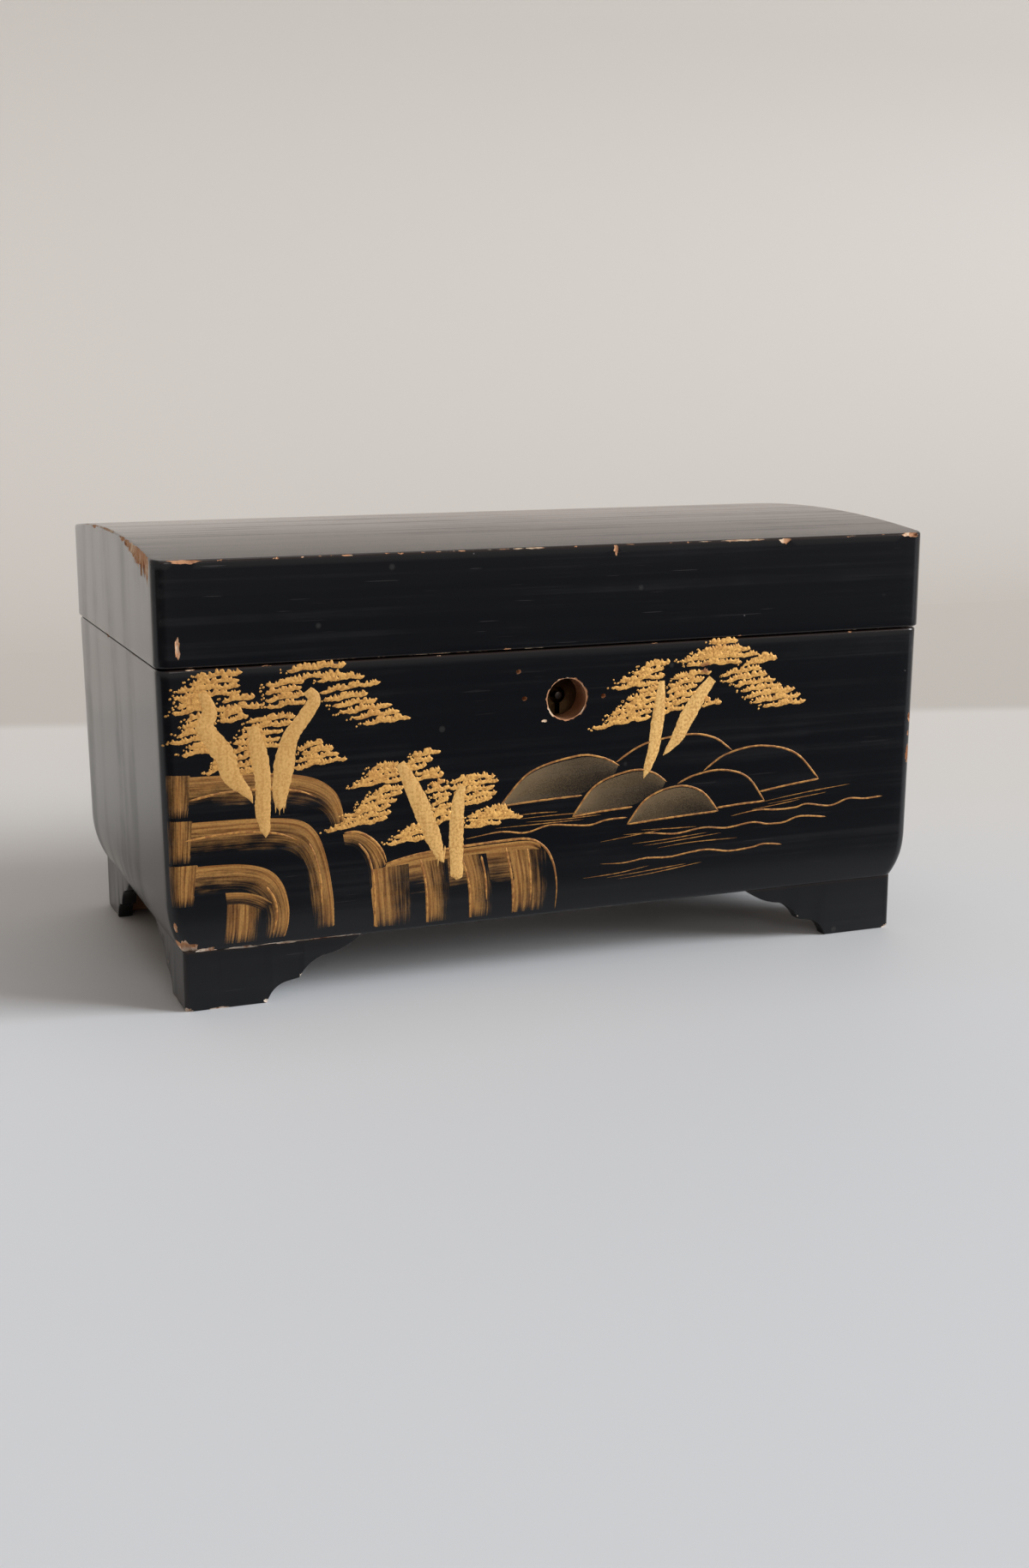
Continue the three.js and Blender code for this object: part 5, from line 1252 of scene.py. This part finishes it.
def metal(name, bright, dull, painted_shade_below=None):
    """An old metal that goes from its bright to its dull tone in stains and pits. Below a level, if one is given, it
    is painted near black: painted shade where the part sits deep in a recess."""
    material, tree, shader = new_material(name, metallic=1.0)
    place = object_place(tree)
    skin = place_group(tree, tarnish, {"Place": place, "Bright": bright, "Dull": dull})
    colour = skin["Color"]
    if painted_shade_below is not None:
        level = add(tree, "ShaderNodeSeparateXYZ", {0: place}).outputs["Z"]
        shade_share = step_up(tree, level, painted_shade_below + 1.0 * MM, painted_shade_below - 1.0 * MM)
        colour = blend_colour(tree, calc(tree, "MULTIPLY", shade_share, 0.95), colour, (0.022, 0.009, 0.005, 1))
    tree.links.new(colour, shader.inputs["Base Color"])
    tree.links.new(skin["Roughness"], shader.inputs["Roughness"])
    tree.links.new(bumped(tree, skin["Height"], 0.03 * MM), shader.inputs["Normal"])
    return material


old_brass = metal("old_brass", (0.60, 0.40, 0.15, 1), (0.22, 0.13, 0.055, 1))
# Painted shade: lock housing and cover are painted near black from 3 mm under the housing's top down, deep in the
# mortise behind the bore.
lock_brass = metal("lock_brass", (0.60, 0.40, 0.15, 1), (0.22, 0.13, 0.055, 1), housing_high[2] - 3 * MM)
dark_iron = metal("dark_iron", (0.10, 0.085, 0.075, 1), (0.035, 0.022, 0.016, 1))
for name, brass in (("lock_housing", lock_brass), ("lock_cover", lock_brass), ("lid_strike", old_brass)):
    eased_copy(name, 0.14 * MM, brass)
for name in ("lock_bolt", "key_post"):
    eased_copy(name, 0.10 * MM, dark_iron)
for side in ("left", "right"):
    eased_copy(f"hinge_{side}_case_leaf", 0.10 * MM, old_brass)
    eased_copy(f"hinge_{side}_lid_leaf", 0.10 * MM, old_brass)
    eased_copy(f"hinge_{side}_pin", 0.12 * MM, old_brass)
    for part in ("case", "lid"):
        for place_name in ("outer", "inner"):
            finish_node(f"hinge_{side}_{part}_screw_{place_name}", old_brass)
    eased_copy(f"tray_rail_{side}", 0.5 * MM, lining_silk)


# Mirror
# A silvered plate glass with a bevelled edge, in a gilt pine frame, over a silk-covered panel under the lid board.
lid_silk = silk_cloth("lid_silk", (0.075, 0.008, 0.012, 1), (0.20, 0.022, 0.03, 1), 0.6, 0.25)
eased_copy("lid_panel", 0.4 * MM, lid_silk)
frame_gilt = metal("frame_gilt", (0.70, 0.46, 0.17, 1), (0.26, 0.12, 0.05, 1))
eased_copy("mirror_frame", 0.35 * MM, frame_gilt, 3)
glass_low, glass_high = (np.array(c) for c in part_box("mirror"))


def mirror_points():
    """Rings of the plate from the middle of its face out, up a wide bevel, up the edge and over the back."""
    middle, half = (glass_low + glass_high) / 2, (glass_high - glass_low) / 2
    bevel = 7 * MM
    depth = 0.7 * MM
    steps = 30
    side = np.linspace(-1, 1, steps, endpoint=False)
    one = np.ones(steps)
    square = np.concatenate([np.stack([side, -one], -1), np.stack([one, side], -1), np.stack([-side, one], -1),
                             np.stack([-one, -side], -1)])
    rows = [(half[1], 0), (bevel + 0.4 * MM, 0), (bevel, 0.02 * MM), (0.3 * MM, depth), (0, depth + 0.3 * MM),
            (0, glass_high[2] - glass_low[2]), (half[1], glass_high[2] - glass_low[2])]
    return np.stack([np.stack([middle[0] + square[:, 0] * (half[0] - d * half[0] / half[1] * (d == half[1]) - d * (d < half[1])),
                               middle[1] + square[:, 1] * (half[1] - d), np.full(4 * steps, glass_low[2] + z)], -1)
                     for d, z in rows])


silvered, silver_tree, silver_shader = new_material("silvered_glass", metallic=1.0)
silver_place = object_place(silver_tree)
silver_spots = noise(silver_tree, silver_place, (60, 60, 60), detail=6, roughness=0.7)
silver_edge = place_group(silver_tree, rub, {"Place": silver_place, "Half X": float(glass_high[0]),
                                             "Half Y": float(glass_high[1]), "Low": float(glass_low[2]),
                                             "High": float(glass_high[2]), "Width": 9 * MM, "Amount": 0.45})["Mask"]
silver_gone = calc(silver_tree, "MAXIMUM", step_up(silver_tree, silver_spots, 0.68, 0.74), silver_edge)
silver_tree.links.new(blend_colour(silver_tree, silver_gone, (0.80, 0.82, 0.81, 1), (0.10, 0.085, 0.07, 1)),
                      silver_shader.inputs["Base Color"])
silver_tree.links.new(step_up(silver_tree, silver_gone, 0, 1, 0.03, 0.45), silver_shader.inputs["Roughness"])
mirror_plate = as_object(clean_mesh(grid_mesh("mirror_plate", [mirror_points()]), 1e-6, 1.5), silvered)
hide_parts("mirror")
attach(mirror_plate, "lid")


# Tray
# Thin pine boards covered in red silk, with handle notches in the ends, three dividers, a ribbed pad for rings and
# three velvet pads.
for name in ("tray_front", "tray_back", "tray_left", "tray_right", "tray_divider_rings", "tray_divider_middle",
             "tray_divider_cross"):
    eased_copy(name, 0.45 * MM, lining_silk, 3)
finish_node("tray_floor", pine)
for name, fill in (("tray_pad_middle", 0.6), ("tray_pad_front", 0.6), ("tray_pad_back", 0.6)):
    velvet_pad(f"{name}_velvet", name, "tray")

ring_low, ring_high = (np.array(c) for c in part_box("ring_pad"))
ring_ribs = 7
rib_base = 3 * MM


def ring_pad_points():
    """A closed sheet over the ribs: along Y the height is base + rise * |sin(pi * ribs * share)| ** 0.6, along X
    each rib is round at its two ends, and the underside is flat."""
    rows, columns = 7 * 24 + 1, 44
    along = np.linspace(0, 1, rows)[:, None]
    across = np.linspace(0, 1, columns)[None, :]
    ends = np.clip(np.minimum(across, 1 - across) * (ring_high[0] - ring_low[0]) / (3 * MM), 0, 1)
    round_end = np.sqrt(1 - (1 - ends) ** 2)
    rise = (ring_high[2] - ring_low[2] - rib_base) * np.abs(np.sin(np.pi * ring_ribs * along)) ** 0.6
    creases = 0.12 * MM * np.sin(across * 37 + 2.0 * np.sin(along * 40)) * np.sin(np.pi * along * ring_ribs) ** 2
    top = ring_low[2] + (rib_base + rise + creases) * (0.25 + 0.75 * round_end)
    top = np.minimum(top, ring_high[2])
    x = np.broadcast_to(ring_low[0] + across * (ring_high[0] - ring_low[0]), top.shape)
    y = np.broadcast_to(ring_low[1] + along * (ring_high[1] - ring_low[1]), top.shape)
    over = np.stack([x, y, top], -1)
    under = over[:, ::-1].copy()
    under[..., 2] = ring_low[2]
    sheet = np.concatenate([over, under], 1)
    first, last = sheet[:1].copy(), sheet[-1:].copy()
    first[..., 2] = last[..., 2] = ring_low[2]
    return np.concatenate([first, sheet, last])


ring_roll = as_object(clean_mesh(grid_mesh("ring_pad_velvet", [ring_pad_points()]), 1e-6, 50), pad_velvet)
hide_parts("ring_pad")
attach(ring_roll, "tray")


# Room
# A pale table that ends at a cream wall behind the box, and soft lamps. The far part of the floor rises in a cove.
# Painted light: the table goes from cool near the box to warm towards the wall, and the wall seen directly is a
# little darker to the right. Painted reflections: in reflections the wall is brighter, lightest to the left, and
# the table is darker in front of the box, where the real room was dark.
floor_size = 1.7
wall_height = 1.1
cove_start, cove_radius = 0.7, 0.5


def sheet(name, y, z, material):
    """A strip as wide as the room along a line of y and z."""
    y, z = np.asarray(y), np.asarray(z)
    points = np.stack([np.broadcast_to([-floor_size, floor_size], (len(y), 2)), np.stack([y, y], -1),
                       np.stack([z, z], -1)], -1)
    return as_object(clean_mesh(grid_mesh(name, [points[:, ::-1]], wrap_columns=False), 1e-6, 60), material)


floor_material, floor_tree, floor_shader = new_material("pale_table", roughness=0.6, specular_ior_level=0.3)
floor_parts = add(floor_tree, "ShaderNodeSeparateXYZ", {0: object_place(floor_tree)}).outputs
beyond = calc(floor_tree, "ADD", floor_parts["Y"], calc(floor_tree, "MULTIPLY", floor_parts["X"], 0.2846))
at_wall = step_up(floor_tree, beyond, 0.385, 0.415)
far_in_front = step_up(floor_tree, floor_parts["Y"], 0.0, -0.24)
mirrored = add(floor_tree, "ShaderNodeLightPath").outputs["Is Glossy Ray"]
to_right = step_up(floor_tree, floor_parts["X"], -0.45, 0.4)
# Painted reflection: in reflections the wall is brighter, lightest to the left. Painted shade: seen directly it is a
# little darker to the right.
wall_painted_reflection = blend_colour(floor_tree, to_right, (0.90, 0.86, 0.82, 1), (0.64, 0.58, 0.535, 1))
wall_seen = blend_colour(floor_tree, to_right, (0.615, 0.58, 0.55, 1), (0.60, 0.575, 0.545, 1))
wall_colour = blend_colour(floor_tree, mirrored, wall_seen, wall_painted_reflection)
# Painted light: the table's tint goes from cool near the box to warm towards the wall.
table_colour = blend_colour(floor_tree, step_up(floor_tree, beyond, -0.25, 0.35), (0.765, 0.80, 0.85, 1),
                            (0.75, 0.735, 0.715, 1))
floor_colour = blend_colour(floor_tree, at_wall, table_colour, wall_colour)
floor_colour = blend_colour(floor_tree, calc(floor_tree, "MULTIPLY", far_in_front, mirrored), floor_colour,
                            (0.02, 0.02, 0.024, 1))
floor_tree.links.new(floor_colour, floor_shader.inputs["Base Color"])
floor = sheet("floor", [-floor_size, cove_start], [0, 0], floor_material)
cove_turn = np.radians(np.linspace(0, 90, 17))
wall = sheet("wall", [*(cove_start + cove_radius * np.sin(cove_turn)), cove_start + cove_radius],
             [*(cove_radius - cove_radius * np.cos(cove_turn)), wall_height], floor_material)


def soft_lamp(name, place, aim, size, power, colour):
    """A square area lamp at a place, turned towards its aim."""
    data = bpy.data.lights.new(name, "AREA")
    data.shape = "SQUARE"
    data.size = size
    data.energy = power
    data.color = colour
    lamp = bpy.data.objects.new(name, data)
    bpy.context.scene.collection.objects.link(lamp)
    place, aim = Vector(place), Vector(aim)
    lamp.location = place
    lamp.rotation_euler = (aim - place).to_track_quat("-Z", "Y").to_euler()
    return lamp


soft_lamp("lamp_right", (10.9, -5.6, 5.55), (0, 0, 0.03), 6.7, 2050, (0.95, 0.975, 1))
soft_lamp("lamp_above", (0.1, 0.3, 2.6), (0, 0, 0.0), 1.6, 8, (0.97, 0.985, 1))
soft_lamp("lamp_front", (-0.1, -3.2, 1.35), (0, 0, 0.05), 1.2, 11, (1, 0.98, 0.96))
world = bpy.data.worlds.new("studio")
bpy.context.scene.world = world
world.use_nodes = True
room_tree = world.node_tree
room_path = add(room_tree, "ShaderNodeLightPath").outputs
# Painted reflection: the world is paler in reflections than in the warm light it gives; the camera sees it palest, as
# a backdrop.
room_colour = blend_colour(room_tree, room_path["Is Glossy Ray"], (0.225, 0.185, 0.15, 1), (0.50, 0.48, 0.46, 1))
room_colour = blend_colour(room_tree, room_path["Is Camera Ray"], room_colour, (0.70, 0.69, 0.68, 1))
room_tree.links.new(room_colour, room_tree.nodes["Background"].inputs["Color"])

camera_data = bpy.data.cameras.new("camera")
camera_data.sensor_width = 36
camera_data.lens = 44.63
camera = bpy.data.objects.new("camera", camera_data)
bpy.context.scene.collection.objects.link(camera)
camera_yaw, camera_pitch = np.radians(21.64), np.radians(12.33)
camera.location = (-0.2354, -0.6165, 0.1916)
forward = Vector((np.sin(camera_yaw) * np.cos(camera_pitch), np.cos(camera_yaw) * np.cos(camera_pitch),
                  -np.sin(camera_pitch)))
camera.rotation_euler = forward.to_track_quat("-Z", "Y").to_euler()
bpy.context.scene.camera = camera
bpy.context.scene.view_settings.view_transform = "Standard"
